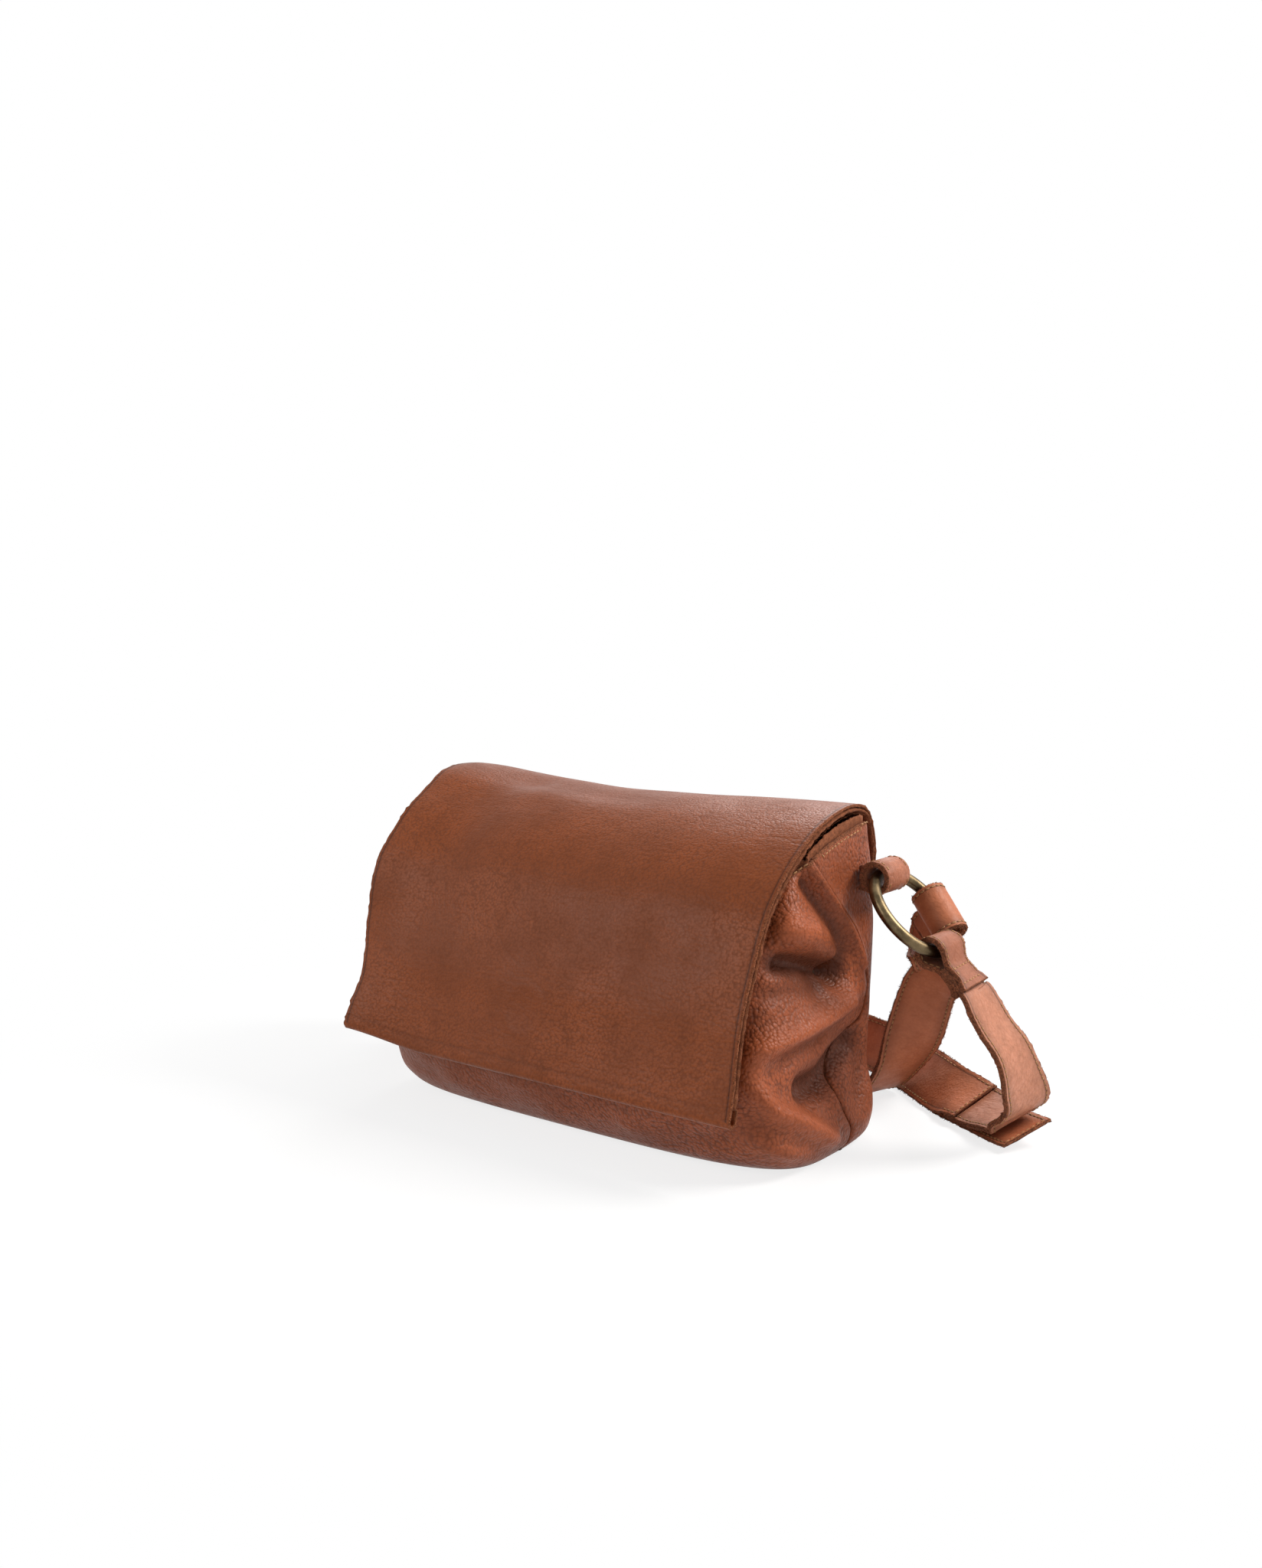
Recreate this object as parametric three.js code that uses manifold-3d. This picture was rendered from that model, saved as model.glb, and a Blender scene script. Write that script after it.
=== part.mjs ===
// Leather flap shoulder bag with a doubled carrying strap on two brass rings.
// Millimetres. X runs along the bag, -Y is the front, +Z is up.
// The origin is the middle of the base, on the surface that the bag stands on.

import * as THREE from 'three';
import { mergeVertices } from 'three/addons/utils/BufferGeometryUtils.js';
import Module from 'manifold-3d';

const wasm = await Module();
wasm.setup();

// Overall size of the leather body
const bagLength = 316;
const bodyHeight = 190;
const frontReach = 85;
const backReach = 65;
const wallBow = 1.4;

// Thicknesses and the clearance between sewn neighbours
const bodyLeather = 2.4;
const facingLeather = 1.4;
const liningCloth = 1.2;
const seamGap = 0.3;
const seamPlace = -6;
const facingDepth = 32;

// Flap: two layers, turned under at the hem. Each side edge lies this far in from the bag's end.
const flapLeftInset = 5;
const flapRightInset = 16;
const flapOuterLeather = 2.0;
const flapLiningLeather = 1.6;
const flapHem = 5;

// Magnetic snap
const snapShift = -10;
const snapHeight = 78;
const snapRadius = 9;
const snapPlate = 1.5;
const snapStudRadius = 2.8;
const snapStudHeight = 1.1;
const snapSocketPlay = 1.4;
const snapSocketWall = 0.5;
const washerRadius = 11;
const washerPlate = 0.6;
const recessFloor = 1.1;

// Slip pocket on the inside of the back
const pocketWidth = 150;
const pocketDrop = 92;
const pocketHeight = 118;
const pocketLeather = 1.2;
const pocketCorner = 14;

// Brass rings and the loops that hold them on the bag's ends
const ringRadius = 28.25;
const ringWire = 3.5;
const ringHang = THREE.MathUtils.degToRad(46);
const loopWidth = 26;
const loopLeather = 3.4;
const loopBackInset = 24;
const loopDrop = 31;
const footLeather = 3.6;
const footSeat = 3.08;
const footDrop = 12;
const footRise = 10;
const wirePlay = 1.4;

// Strap
const strapWidth = 35;
const strapLayer = 1.7;
const strapThickness = 2 * strapLayer;
const rollPlace = THREE.MathUtils.degToRad(75);
const rollWidth = 31;
const turnedEnd = 18;
const tabLeather = 2.4;
const tabReach = 27;
const tabWidth = 34;
const tabNarrow = 24;
const tabShift = -1.5;
const tabPull = 0.5;
const foldRadius = 2.2;
const foldRise = 4;

// Cutting tools run past the body by this much
const overrun = 40;
const weldDistance = 0.0005;
const cleanDistance = 0.02;

// Counts that set how fine the surfaces are
const outlineSteps = 60;
const flapSteps = 30;
const loopSteps = 32;
const wireSteps = 12;
const ringSteps = 44;
const lapSteps = 3;

const brown = 0x9c5236;
const leatherLook = (name, color = brown, roughness = 0.62) =>
  new THREE.MeshStandardMaterial({ name, color, roughness, metalness: 0 });
const bodyLook = leatherLook('body_leather', 0x944a2e);
const flapLook = leatherLook('flap_leather', 0x9c583c, 0.55);
const strapLook = leatherLook('strap_leather', 0x9a5338, 0.58);
const suedeLook = leatherLook('suede', 0x8a4a2c, 0.9);
const clothLook = new THREE.MeshStandardMaterial({ name: 'lining_cloth', color: 0x5a4636, roughness: 0.95 });
const brassLook = new THREE.MeshStandardMaterial({
  name: 'antique_brass', color: 0x8a7450, roughness: 0.34, metalness: 1,
});

const group = new THREE.Group();
group.name = 'flap_shoulder_bag';

function addPiece(name, geometry, look) {
  const mesh = new THREE.Mesh(geometry, look);
  mesh.name = name;
  group.add(mesh);
  return mesh;
}

// Closed geometry to solid and back, for the cuts
function toSolid(geometry) {
  const bare = geometry.clone();
  bare.deleteAttribute('normal');
  bare.deleteAttribute('uv');
  const merged = mergeVertices(bare, weldDistance);
  return new wasm.Manifold(new wasm.Mesh({
    numProp: 3,
    vertProperties: new Float32Array(merged.attributes.position.array),
    triVerts: new Uint32Array(merged.index.array),
  }));
}

function toGeometry(solid) {
  const mesh = solid.simplify(cleanDistance).getMesh();
  const geometry = new THREE.BufferGeometry();
  geometry.setAttribute('position', new THREE.BufferAttribute(new Float32Array(mesh.vertProperties), 3));
  geometry.setIndex(new THREE.BufferAttribute(new Uint32Array(mesh.triVerts), 1));
  geometry.computeVertexNormals();
  return geometry;
}

// A box between two corners
function boxBetween(low, high) {
  const size = high.map((value, axis) => value - low[axis]);
  const box = new THREE.BoxGeometry(size[0], size[1], size[2]);
  box.translate(low[0] + size[0] / 2, low[1] + size[1] / 2, low[2] + size[2] / 2);
  return box;
}

// A closed outline of [y, z] points, swept along X from one x to another
function alongX(outline, fromX, toX) {
  const shape = new THREE.Shape(outline.map(([y, z]) => new THREE.Vector2(y, z)));
  const solid = new THREE.ExtrudeGeometry(shape, { depth: toX - fromX, bevelEnabled: false });
  const turn = new THREE.Matrix4().makeBasis(
    new THREE.Vector3(0, 1, 0), new THREE.Vector3(0, 0, 1), new THREE.Vector3(1, 0, 0));
  solid.applyMatrix4(turn);
  solid.translate(fromX, 0, 0);
  return solid;
}

// Body form, from the base up: shares of bodyHeight, of half bagLength, of frontReach and of backReach,
// then how square the outline's corners are
const bodyFormShares = [
  [0.00, 0.949, 0.660, 0.877, 4.0],
  [0.02, 0.972, 0.745, 0.946, 4.6],
  [0.06, 0.985, 0.835, 0.985, 5.4],
  [0.13, 0.975, 0.930, 1.000, 6.5],
  [0.22, 0.945, 0.985, 1.000, 7.5],
  [0.32, 0.930, 0.962, 1.000, 8.5],
  [0.44, 0.930, 0.893, 1.000, 9.0],
  [0.56, 0.936, 0.824, 1.000, 9.0],
  [0.68, 0.936, 0.718, 1.000, 9.0],
  [0.78, 0.921, 0.588, 0.985, 9.0],
  [0.87, 0.914, 0.465, 0.980, 9.0],
  [0.94, 0.911, 0.330, 0.940, 8.0],
  [1.08, 0.911, 0.190, 0.830, 8.0],
];

// One outline of the body: points spread evenly round a rectangle, then drawn in to the rounded form
function bodyOutline(halfLength, front, back, squareness) {
  const halfDepth = (front + back) / 2;
  const middle = (back - front) / 2;
  const around = 4 * (halfLength + halfDepth);
  const points = [];
  for (let step = 0; step < outlineSteps; step += 1) {
    let walk = (around * (step + 0.5)) / outlineSteps;
    let corner;
    if (walk < 2 * halfDepth) {
      corner = [halfLength, walk - halfDepth];
    } else if (walk < 2 * halfDepth + 2 * halfLength) {
      walk -= 2 * halfDepth;
      corner = [halfLength - walk, halfDepth];
    } else if (walk < 4 * halfDepth + 2 * halfLength) {
      walk -= 2 * halfDepth + 2 * halfLength;
      corner = [-halfLength, halfDepth - walk];
    } else {
      walk -= 4 * halfDepth + 2 * halfLength;
      corner = [walk - halfLength, -halfDepth];
    }
    const reach = Math.abs(corner[0] / halfLength) ** squareness + Math.abs(corner[1] / halfDepth) ** squareness;
    const drawIn = 1 / reach ** (1 / squareness);
    const x = corner[0] * drawIn;
    const y = corner[1] * drawIn;
    points.push([x, middle + y * (1 - (wallBow / halfDepth) * (x / halfLength) ** 2)]);
  }
  return points;
}

// The body's form as a closed solid, drawn in by an inset on every side and at the base
function bodyForm(inset) {
  const positions = [];
  const rings = bodyFormShares.map(([height, length, front, back, squareness]) => {
    const z = inset + height * (bodyHeight - inset);
    return bodyOutline(
      (length * bagLength) / 2 - inset, front * frontReach - inset, back * backReach - inset, squareness,
    ).map(([x, y]) => [x, y, z]);
  });
  for (const ring of rings) {
    for (const point of ring) {
      positions.push(...point);
    }
  }
  const last = rings.length - 1;
  const middleOf = (ring) => ring.reduce(
    (sum, point) => sum.map((value, axis) => value + point[axis] / ring.length), [0, 0, 0]);
  positions.push(...middleOf(rings[0]), ...middleOf(rings[last]));
  const bottomCentre = rings.length * outlineSteps;
  const topCentre = bottomCentre + 1;
  const index = [];
  for (let row = 0; row < last; row += 1) {
    for (let step = 0; step < outlineSteps; step += 1) {
      const next = (step + 1) % outlineSteps;
      const a = row * outlineSteps + step;
      const b = row * outlineSteps + next;
      const c = a + outlineSteps;
      const d = b + outlineSteps;
      index.push(a, b, d, a, d, c);
    }
  }
  for (let step = 0; step < outlineSteps; step += 1) {
    const next = (step + 1) % outlineSteps;
    index.push(bottomCentre, next, step);
    index.push(topCentre, last * outlineSteps + step, last * outlineSteps + next);
  }
  const geometry = new THREE.BufferGeometry();
  geometry.setAttribute('position', new THREE.Float32BufferAttribute(positions, 3));
  geometry.setIndex(index);
  return toSolid(geometry);
}

// Mouth rim seen from the end: y as a share of frontReach (negative) or backReach, z of bodyHeight
const rimShares = [
  [-0.541, 0.826], [-0.353, 0.884], [-0.188, 0.921], [-0.024, 0.947], [0.154, 0.963],
  [0.354, 0.979], [0.569, 0.993], [0.738, 0.993], [0.862, 0.975], [0.969, 0.950],
];

// Everything above the rim, or above a line a given drop below it
function aboveRim(drop) {
  const line = rimShares.map(([y, z]) => [y * (y < 0 ? frontReach : backReach), z * bodyHeight - drop]);
  const far = Math.max(frontReach, backReach) + overrun;
  const top = bodyHeight + overrun;
  const outline = [
    [-far, line[0][1]], ...line, [far, line[line.length - 1][1]], [far, top], [-far, top],
  ];
  return toSolid(alongX(outline, -bagLength, bagLength));
}

// The front or the back half of a shell, up to the seam that runs down both ends and along the base
function halfOf(solid, side) {
  const far = Math.max(frontReach, backReach) + overrun;
  const seam = seamPlace + (side * seamGap) / 2;
  const low = [-bagLength, side > 0 ? seam : -far, -overrun];
  const high = [bagLength, side > 0 ? far : seam, bodyHeight + overrun];
  return solid.intersect(toSolid(boxBetween(low, high)));
}

// The flap's outer face seen from the end, from the hinge line forward and down: shares as for the rim
const flapFaceShares = [
  [0.785, 1.034], [0.646, 1.041], [0.477, 1.039], [0.246, 1.026], [-0.012, 1.003], [-0.165, 0.973],
  [-0.318, 0.934], [-0.459, 0.887], [-0.576, 0.837], [-0.671, 0.784], [-0.741, 0.726], [-0.812, 0.653],
  [-0.894, 0.568], [-0.965, 0.482], [-1.012, 0.400], [-1.082, 0.300], [-1.141, 0.221],
];

// The same face from the hinge line backward and down to where it is sewn on the back
const rearFaceShares = [
  [0.785, 1.034], [0.868, 1.022], [0.948, 0.993], [1.014, 0.948], [1.047, 0.905], [1.054, 0.842], [1.054, 0.774],
];

const faceCurve = (shares) => new THREE.CatmullRomCurve3(shares.map(([y, z]) => new THREE.Vector3(
  0, y * (y < 0 ? frontReach : backReach), z * bodyHeight)), false, 'centripetal');

// A point on a face curve at a walked length, sunk below the face; side is 1 where the curve runs forward
function sunkPoint(curve, walk, depth, side) {
  const share = THREE.MathUtils.clamp(walk / curve.getLength(), 0, 1);
  const place = curve.getPointAt(share);
  const way = curve.getTangentAt(share);
  return [place.y - way.z * depth * side, place.z + way.y * depth * side];
}

// One leather layer that follows a face curve to a walked length, between two depths. It starts with an
// upright cut beside the hinge line.
function layerOutline(curve, side, toWalk, topDepth, lowDepth) {
  const start = curve.getPointAt(0);
  const cut = start.y - (side * seamGap) / 2;
  const follow = (depth) => {
    const line = [[cut, start.z - depth]];
    for (let step = 1; step <= flapSteps; step += 1) {
      const point = sunkPoint(curve, (toWalk * step) / flapSteps, depth, side);
      if ((cut - point[0]) * side > weldDistance) {
        line.push(point);
      }
    }
    return line;
  };
  return { top: follow(topDepth), low: follow(lowDepth).reverse() };
}

const flapFace = faceCurve(flapFaceShares);
const rearFace = faceCurve(rearFaceShares);
const flapThickness = flapOuterLeather + seamGap + flapLiningLeather;
const flapLeft = flapLeftInset - bagLength / 2;
const flapRight = bagLength / 2 - flapRightInset;

// Outer leather whose hem is turned under at the free edge
function makeFlapOuter(curve, side) {
  const end = curve.getLength();
  const hemStart = end - flapHem;
  const { top, low } = layerOutline(curve, side, end, 0, flapOuterLeather);
  const lowKept = low.filter(([, z], place) => place > 0 && z > sunkPoint(curve, hemStart, flapThickness, side)[1]);
  const outline = [
    ...top,
    sunkPoint(curve, end, flapThickness, side),
    sunkPoint(curve, hemStart, flapThickness, side),
    sunkPoint(curve, hemStart, flapOuterLeather, side),
    ...lowKept,
  ];
  return alongX(outline, flapLeft, flapRight);
}

function makeFlapLining(curve, side) {
  const end = curve.getLength() - flapHem - seamGap;
  const { top, low } = layerOutline(curve, side, end, flapOuterLeather + seamGap, flapThickness);
  return alongX([...top, ...low], flapLeft, flapRight);
}

// Frame on the flap at the snap: the walked length where the face passes the snap's height
function snapFrame() {
  let share = 0;
  const probe = 1 / (flapSteps * flapSteps);
  while (flapFace.getPointAt(share).z > snapHeight) {
    share += probe;
  }
  const place = flapFace.getPointAt(share);
  const way = flapFace.getTangentAt(share);
  const outward = new THREE.Vector3(0, way.z, -way.y);
  place.x = snapShift;
  return { place, outward };
}

// A round piece turned from a profile of [radius, height], standing on a point along a direction
function turned(profile, place, direction, depth, steps = loopSteps) {
  const solid = new THREE.LatheGeometry(profile.map(([r, h]) => new THREE.Vector2(r, h)), steps);
  const turn = new THREE.Quaternion().setFromUnitVectors(new THREE.Vector3(0, 1, 0), direction);
  solid.applyQuaternion(turn);
  const foot = place.clone().addScaledVector(direction, depth);
  solid.translate(foot.x, foot.y, foot.z);
  return solid;
}

function discProfile(radius, height) {
  return [[0, 0], [radius, 0], [radius, height], [0, height]];
}

// Body: two leather halves sewn at the ends and along the base, faced at the mouth and lined
function makeBody() {
  const outside = bodyForm(0);
  const inside = bodyForm(bodyLeather);
  const shell = outside.subtract(inside).subtract(aboveRim(0));
  const lined = bodyForm(bodyLeather + seamGap);
  const facingShell = lined.subtract(bodyForm(bodyLeather + seamGap + facingLeather));
  const facing = facingShell.subtract(aboveRim(seamGap)).intersect(aboveRim(facingDepth));
  const lining = lined.subtract(bodyForm(bodyLeather + seamGap + liningCloth))
    .subtract(aboveRim(facingDepth + seamGap));
  return { shell, facing, lining };
}

// The snap: a socket under the flap and a stud on the front, each with its washer let into the leather
function makeSnap(bodyShell, bodyLining, flapOuter, flapLining) {
  const { place, outward } = snapFrame();
  const inward = outward.clone().negate();
  const disc = (radius, height, depth) => turned(discProfile(radius, height), place, inward, depth);
  const socketRadius = snapStudRadius + snapSocketPlay;
  const flapHalf = [
    [0, 0], [snapRadius, 0], [snapRadius, snapPlate], [socketRadius, snapPlate],
    [socketRadius, snapSocketWall], [0, snapSocketWall],
  ];
  addPiece('snap_socket_flap', turned(flapHalf, place, inward, flapThickness + seamGap), brassLook);
  const flapWasher = flapOuterLeather + seamGap;
  addPiece('snap_washer_flap', disc(washerRadius, washerPlate, flapWasher), brassLook);
  const flapRecess = disc(washerRadius + seamGap, washerPlate + 2 * seamGap, flapWasher - seamGap);
  const studFace = flapThickness + seamGap + snapPlate + seamGap;
  const studBack = studFace + snapPlate;
  const bodyHalf = [
    [0, -snapStudHeight], [snapStudRadius, -snapStudHeight], [snapStudRadius, 0], [snapRadius, 0],
    [snapRadius, snapPlate], [0, snapPlate],
  ];
  addPiece('snap_stud_body', turned(bodyHalf, place, inward, studFace), brassLook);
  const studSeat = disc(snapRadius + seamGap, studBack + seamGap + overrun, -overrun);
  const bodyWasher = studBack + seamGap + recessFloor + seamGap;
  addPiece('snap_washer_body', disc(snapRadius, washerPlate, bodyWasher), brassLook);
  const bodyRecess = disc(snapRadius + seamGap, washerPlate + 2 * seamGap, bodyWasher - seamGap);
  const fit = (solid, ...cuts) => toGeometry(cuts.reduce((left, cut) => left.subtract(toSolid(cut)), solid));
  return {
    fittedShell: bodyShell.subtract(toSolid(studSeat)).subtract(toSolid(bodyRecess)),
    fittedLining: fit(bodyLining, bodyRecess),
    fittedOuter: fit(toSolid(flapOuter), flapRecess),
    fittedInner: fit(toSolid(flapLining), flapRecess),
  };
}

// Slip pocket: a leather panel with round lower corners, sewn flat on the back lining
function makePocket() {
  const half = pocketWidth / 2;
  const low = pocketHeight - pocketDrop;
  const shape = new THREE.Shape();
  shape.moveTo(-half, pocketHeight);
  shape.lineTo(-half, low + pocketCorner);
  shape.absarc(-half + pocketCorner, low + pocketCorner, pocketCorner, Math.PI, 1.5 * Math.PI, false);
  shape.absarc(half - pocketCorner, low + pocketCorner, pocketCorner, 1.5 * Math.PI, 2 * Math.PI, false);
  shape.lineTo(half, pocketHeight);
  const panel = new THREE.ExtrudeGeometry(shape, {
    depth: pocketLeather, bevelEnabled: false, curveSegments: wireSteps / 2,
  });
  panel.rotateX(Math.PI / 2);
  const bowAtEdge = wallBow * (1.1 * pocketWidth / bagLength) ** 2;
  const liningFace = backReach - bodyLeather - 2 * seamGap - liningCloth - bowAtEdge;
  panel.translate(0, liningFace, 0);
  return addPiece('slip_pocket', panel, suedeLook);
}

const loopPlace = backReach - loopBackInset;
const loopHeight = bodyHeight - loopDrop;
const loopSeat = endWallAt(loopHeight) + footSeat;

// How far out the bag's end walls stand at a height
function endWallAt(height) {
  const above = bodyFormShares.findIndex(([share]) => share * bodyHeight > height);
  const [[lowShare, lowLength], [highShare, highLength]] = bodyFormShares.slice(above - 1, above + 1);
  const way = (height / bodyHeight - lowShare) / (highShare - lowShare);
  return (THREE.MathUtils.lerp(lowLength, highLength, way) * bagLength) / 2;
}

// Where a ring hangs on one end of the bag; end is 1 on the right and -1 on the left
function ringFrame(end) {
  const outerLoop = loopBore() + loopLeather;
  const loopCentre = new THREE.Vector3(
    end * (loopSeat + seamGap + outerLoop), loopPlace, loopHeight);
  const hang = new THREE.Vector3(end * Math.cos(ringHang), 0, -Math.sin(ringHang));
  const across = new THREE.Vector3(0, 1, 0);
  const centre = loopCentre.clone().addScaledVector(hang, ringRadius - arcRise(loopWidth) / 2);
  const normal = hang.clone().cross(across).multiplyScalar(end);
  return { end, loopCentre, hang, across, centre, normal };
}

// How far the ring's arc rises over a chord of a given length
function arcRise(chord) {
  return ringRadius - Math.sqrt(ringRadius ** 2 - (chord / 2) ** 2);
}

// Bore radius of a leather loop on the ring: the wire, its arc over the loop's width, and its play
function boreFor(width) {
  return ringWire + arcRise(width) / 2 + wirePlay;
}

function loopBore() {
  return boreFor(loopWidth);
}

function makeRing(frame, name) {
  const ring = new THREE.TorusGeometry(ringRadius, ringWire, wireSteps, ringSteps);
  const turn = new THREE.Matrix4().makeBasis(frame.hang, frame.across, frame.hang.clone().cross(frame.across));
  ring.applyMatrix4(turn);
  ring.translate(frame.centre.x, frame.centre.y, frame.centre.z);
  return addPiece(name, ring, brassLook);
}

// The loop: a closed band of leather round the wire, and its foot sewn on the end of the bag
function makeAnchor(frame, side) {
  const bore = loopBore();
  const outer = bore + loopLeather;
  const half = loopWidth / 2;
  const band = [[bore, -half], [outer, -half], [outer, half], [bore, half], [bore, -half]];
  addPiece(`anchor_loop_${side}`, turned(band, frame.loopCentre, frame.across, 0), strapLook);
  const plate = bodyForm(-seamGap - footLeather).subtract(bodyForm(-seamGap));
  const inner = (frame.end * bagLength) / 4;
  const seat = frame.end * loopSeat;
  const low = [Math.min(inner, seat), loopPlace - half, loopHeight - footDrop];
  const high = [Math.max(inner, seat), loopPlace + half, loopHeight + footRise];
  const foot = plate.intersect(toSolid(boxBetween(low, high)));
  return addPiece(`anchor_foot_${side}`, toGeometry(foot), strapLook);
}

// A flat strap through stations of a place and an across direction, split finer between them
function stationsThrough(stations, split) {
  const places = new THREE.CatmullRomCurve3(stations.map(({ place }) => place), false, 'centripetal');
  const acrosses = new THREE.CatmullRomCurve3(stations.map(({ across }) => across), false, 'catmullrom');
  const count = (stations.length - 1) * split;
  const fine = [];
  for (let step = 0; step <= count; step += 1) {
    const share = step / count;
    const way = places.getTangent(share);
    const across = acrosses.getPoint(share);
    across.addScaledVector(way, -across.dot(way)).normalize();
    fine.push({ place: places.getPoint(share), across, up: way.clone().cross(across).normalize() });
  }
  return fine;
}

// Lifts the stations whose lowest corner would dip under the ground
function keepAboveGround(fine) {
  for (const { place, across, up } of fine) {
    const low = place.z - (Math.abs(across.z) * strapWidth + Math.abs(up.z) * strapThickness) / 2;
    place.z -= Math.min(0, low);
  }
  return fine;
}

// Corners of the strap's cross-section at one station, from its lowest height to its highest
function crossSection({ place, across, up }, width, heights) {
  const corner = (wide, height) => place.clone()
    .addScaledVector(across, (wide * width) / 2)
    .addScaledVector(up, height);
  const oneSide = heights.map((height) => corner(1, height));
  const otherSide = heights.map((height) => corner(-1, height)).reverse();
  const lowest = otherSide.pop();
  return [lowest, ...oneSide, ...otherSide];
}

// Skin through a row of cross-sections, capped where asked. The two faces are split along the same
// diagonals, so that stacked layers stay parallel.
function sweptSkin(rows, capStart, capEnd) {
  const count = rows[0].length;
  const positions = rows.flatMap((row) => row.flatMap(({ x, y, z }) => [x, y, z]));
  const index = [];
  for (let row = 0; row < rows.length - 1; row += 1) {
    for (let side = 0; side < count; side += 1) {
      const a = row * count + side;
      const b = row * count + ((side + 1) % count);
      const c = b + count;
      const d = a + count;
      index.push(...(side < count / 2 ? [a, b, c, a, c, d] : [a, b, d, b, c, d]));
    }
  }
  const last = (rows.length - 1) * count;
  for (let side = 0; side < count - 2; side += 1) {
    if (capStart) {
      index.push(count - 1, side + 1, side);
    }
    if (capEnd) {
      index.push(last + count - 1, last + side, last + side + 1);
    }
  }
  return { positions, index };
}

function joinSkins(skins) {
  const positions = [];
  const index = [];
  for (const skin of skins) {
    const base = positions.length / 3;
    positions.push(...skin.positions);
    index.push(...skin.index.map((corner) => corner + base));
  }
  const geometry = new THREE.BufferGeometry();
  geometry.setAttribute('position', new THREE.Float32BufferAttribute(positions, 3));
  geometry.setIndex(index);
  return mergeVertices(geometry, weldDistance);
}

// Closed ribbon of a thickness and a width along fine stations
function ribbon(fine, thickness, widthAt) {
  const rows = fine.map((station, number) => crossSection(
    station, widthAt(number), [-thickness / 2, thickness / 2]));
  return joinSkins([sweptSkin(rows, true, true)]);
}

// A station on the way along the ground or through the air. x and y are shares of half bagLength and of
// backReach, lift is the share of bodyHeight that the strap's lowest corner stands above the ground.
function groundStation([xShare, yShare, lift], acrossShare) {
  const across = new THREE.Vector3(...acrossShare).normalize();
  const rise = (Math.abs(across.z) * strapWidth + Math.sqrt(1 - across.z ** 2) * strapThickness) / 2;
  return {
    place: new THREE.Vector3((xShare * bagLength) / 2, yShare * backReach, lift * bodyHeight + rise),
    across,
  };
}

// The strap's end rolled over the far side of the right ring, from its turned-in end to the hanging leg
function rollStations(frame) {
  const out = frame.hang.clone().multiplyScalar(Math.cos(rollPlace))
    .addScaledVector(frame.across, Math.sin(rollPlace));
  const along = frame.hang.clone().multiplyScalar(-Math.sin(rollPlace))
    .addScaledVector(frame.across, Math.cos(rollPlace));
  const axis = frame.centre.clone().addScaledVector(out, ringRadius - arcRise(rollWidth) / 2);
  const down = new THREE.Vector3(0, 0, -1);
  down.addScaledVector(along, -down.dot(along)).normalize();
  const away = down.clone().cross(along);
  const radius = boreFor(rollWidth) + strapThickness / 2;
  const inner = radius - strapThickness - seamGap;
  const at = (sideways, drop) => ({
    place: axis.clone().addScaledVector(away, sideways).addScaledVector(down, drop),
    across: along.clone(),
  });
  const stations = [at(inner, radius + turnedEnd), at(inner, radius + turnedEnd / 2)];
  stations.push(at(inner - strapThickness / 4, radius + strapThickness / 2));
  for (let degrees = 210; degrees >= 0; degrees -= 30) {
    const turn = THREE.MathUtils.degToRad(degrees);
    stations.push(at(Math.cos(turn) * radius, -Math.sin(turn) * radius));
  }
  stations.push(at(radius, radius), at(radius, radius + turnedEnd));
  return stations;
}

// The leg that hangs from the roll and turns as it comes down: shares of half bagLength, backReach and
// bodyHeight for its middle, then its across direction
const hangingLegShares = [
  [[1.125, 1.169, 0.526], [-0.86, 0.05, 0.40]],
  [[1.059, 1.262, 0.438], [-0.91, -0.25, 0.30]],
  [[0.974, 1.415, 0.285], [-0.76, -0.51, 0.40]],
  [[0.883, 1.538, 0.139], [-0.32, -0.91, 0.27]],
  [[0.776, 1.640, 0.042], [-0.12, -0.97, 0.20]],
];

// Inner run flat on the ground behind the bag and up to the left ring
const innerRunShares = [
  [[0.690, 1.66, 0.001], [0, -1, 0]],
  [[0.250, 1.66, 0.001], [0, -1, 0]],
  [[-0.250, 1.66, 0.001], [0, -1, 0]],
  [[-0.760, 1.64, 0.001], [0, -1, 0]],
  [[-1.010, 1.60, 0.020], [0, -1, 0.1]],
  [[-1.150, 1.42, 0.160], [0, -1, 0.2]],
];

// Outer leg down from the left ring, round on its edge, back behind the inner run and out to the lap
const outerRunShares = [
  [[-1.330, 0.98, 0.300], [-0.55, -0.83, 0]],
  [[-1.350, 1.42, 0.080], [-1, -0.15, 0.1]],
  [[-1.310, 1.98, 0.004], [-0.7, 0.2, 0.75]],
  [[-1.140, 2.38, 0.002], [-0.15, 0.1, 1]],
  [[-0.760, 2.52, 0.002], [0, 0, 1]],
  [[-0.200, 2.54, 0.002], [0, 0.05, 1]],
  [[0.200, 2.52, 0.002], [0, 0.1, 1]],
  [[0.525, 2.46, 0.002], [0.12, 0.25, 0.96]],
  [[0.810, 2.10, 0.002], [0.3, 0.45, 0.85]],
];

// The lap where the short strap is sewn between the long strap's two layers
const lapShares = [
  [[1.050, 1.708, 0.002], [0.38, 0.55, 0.74]],
  [[1.150, 1.620, 0.002], [0.44, 0.73, 0.53]],
  [[1.262, 1.485, 0.005], [0.46, 0.79, 0.41]],
  [[1.384, 1.308, 0.010], [0.44, 0.83, 0.34]],
  [[1.500, 1.130, 0.020], [0.42, 0.85, 0.34]],
];

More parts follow.
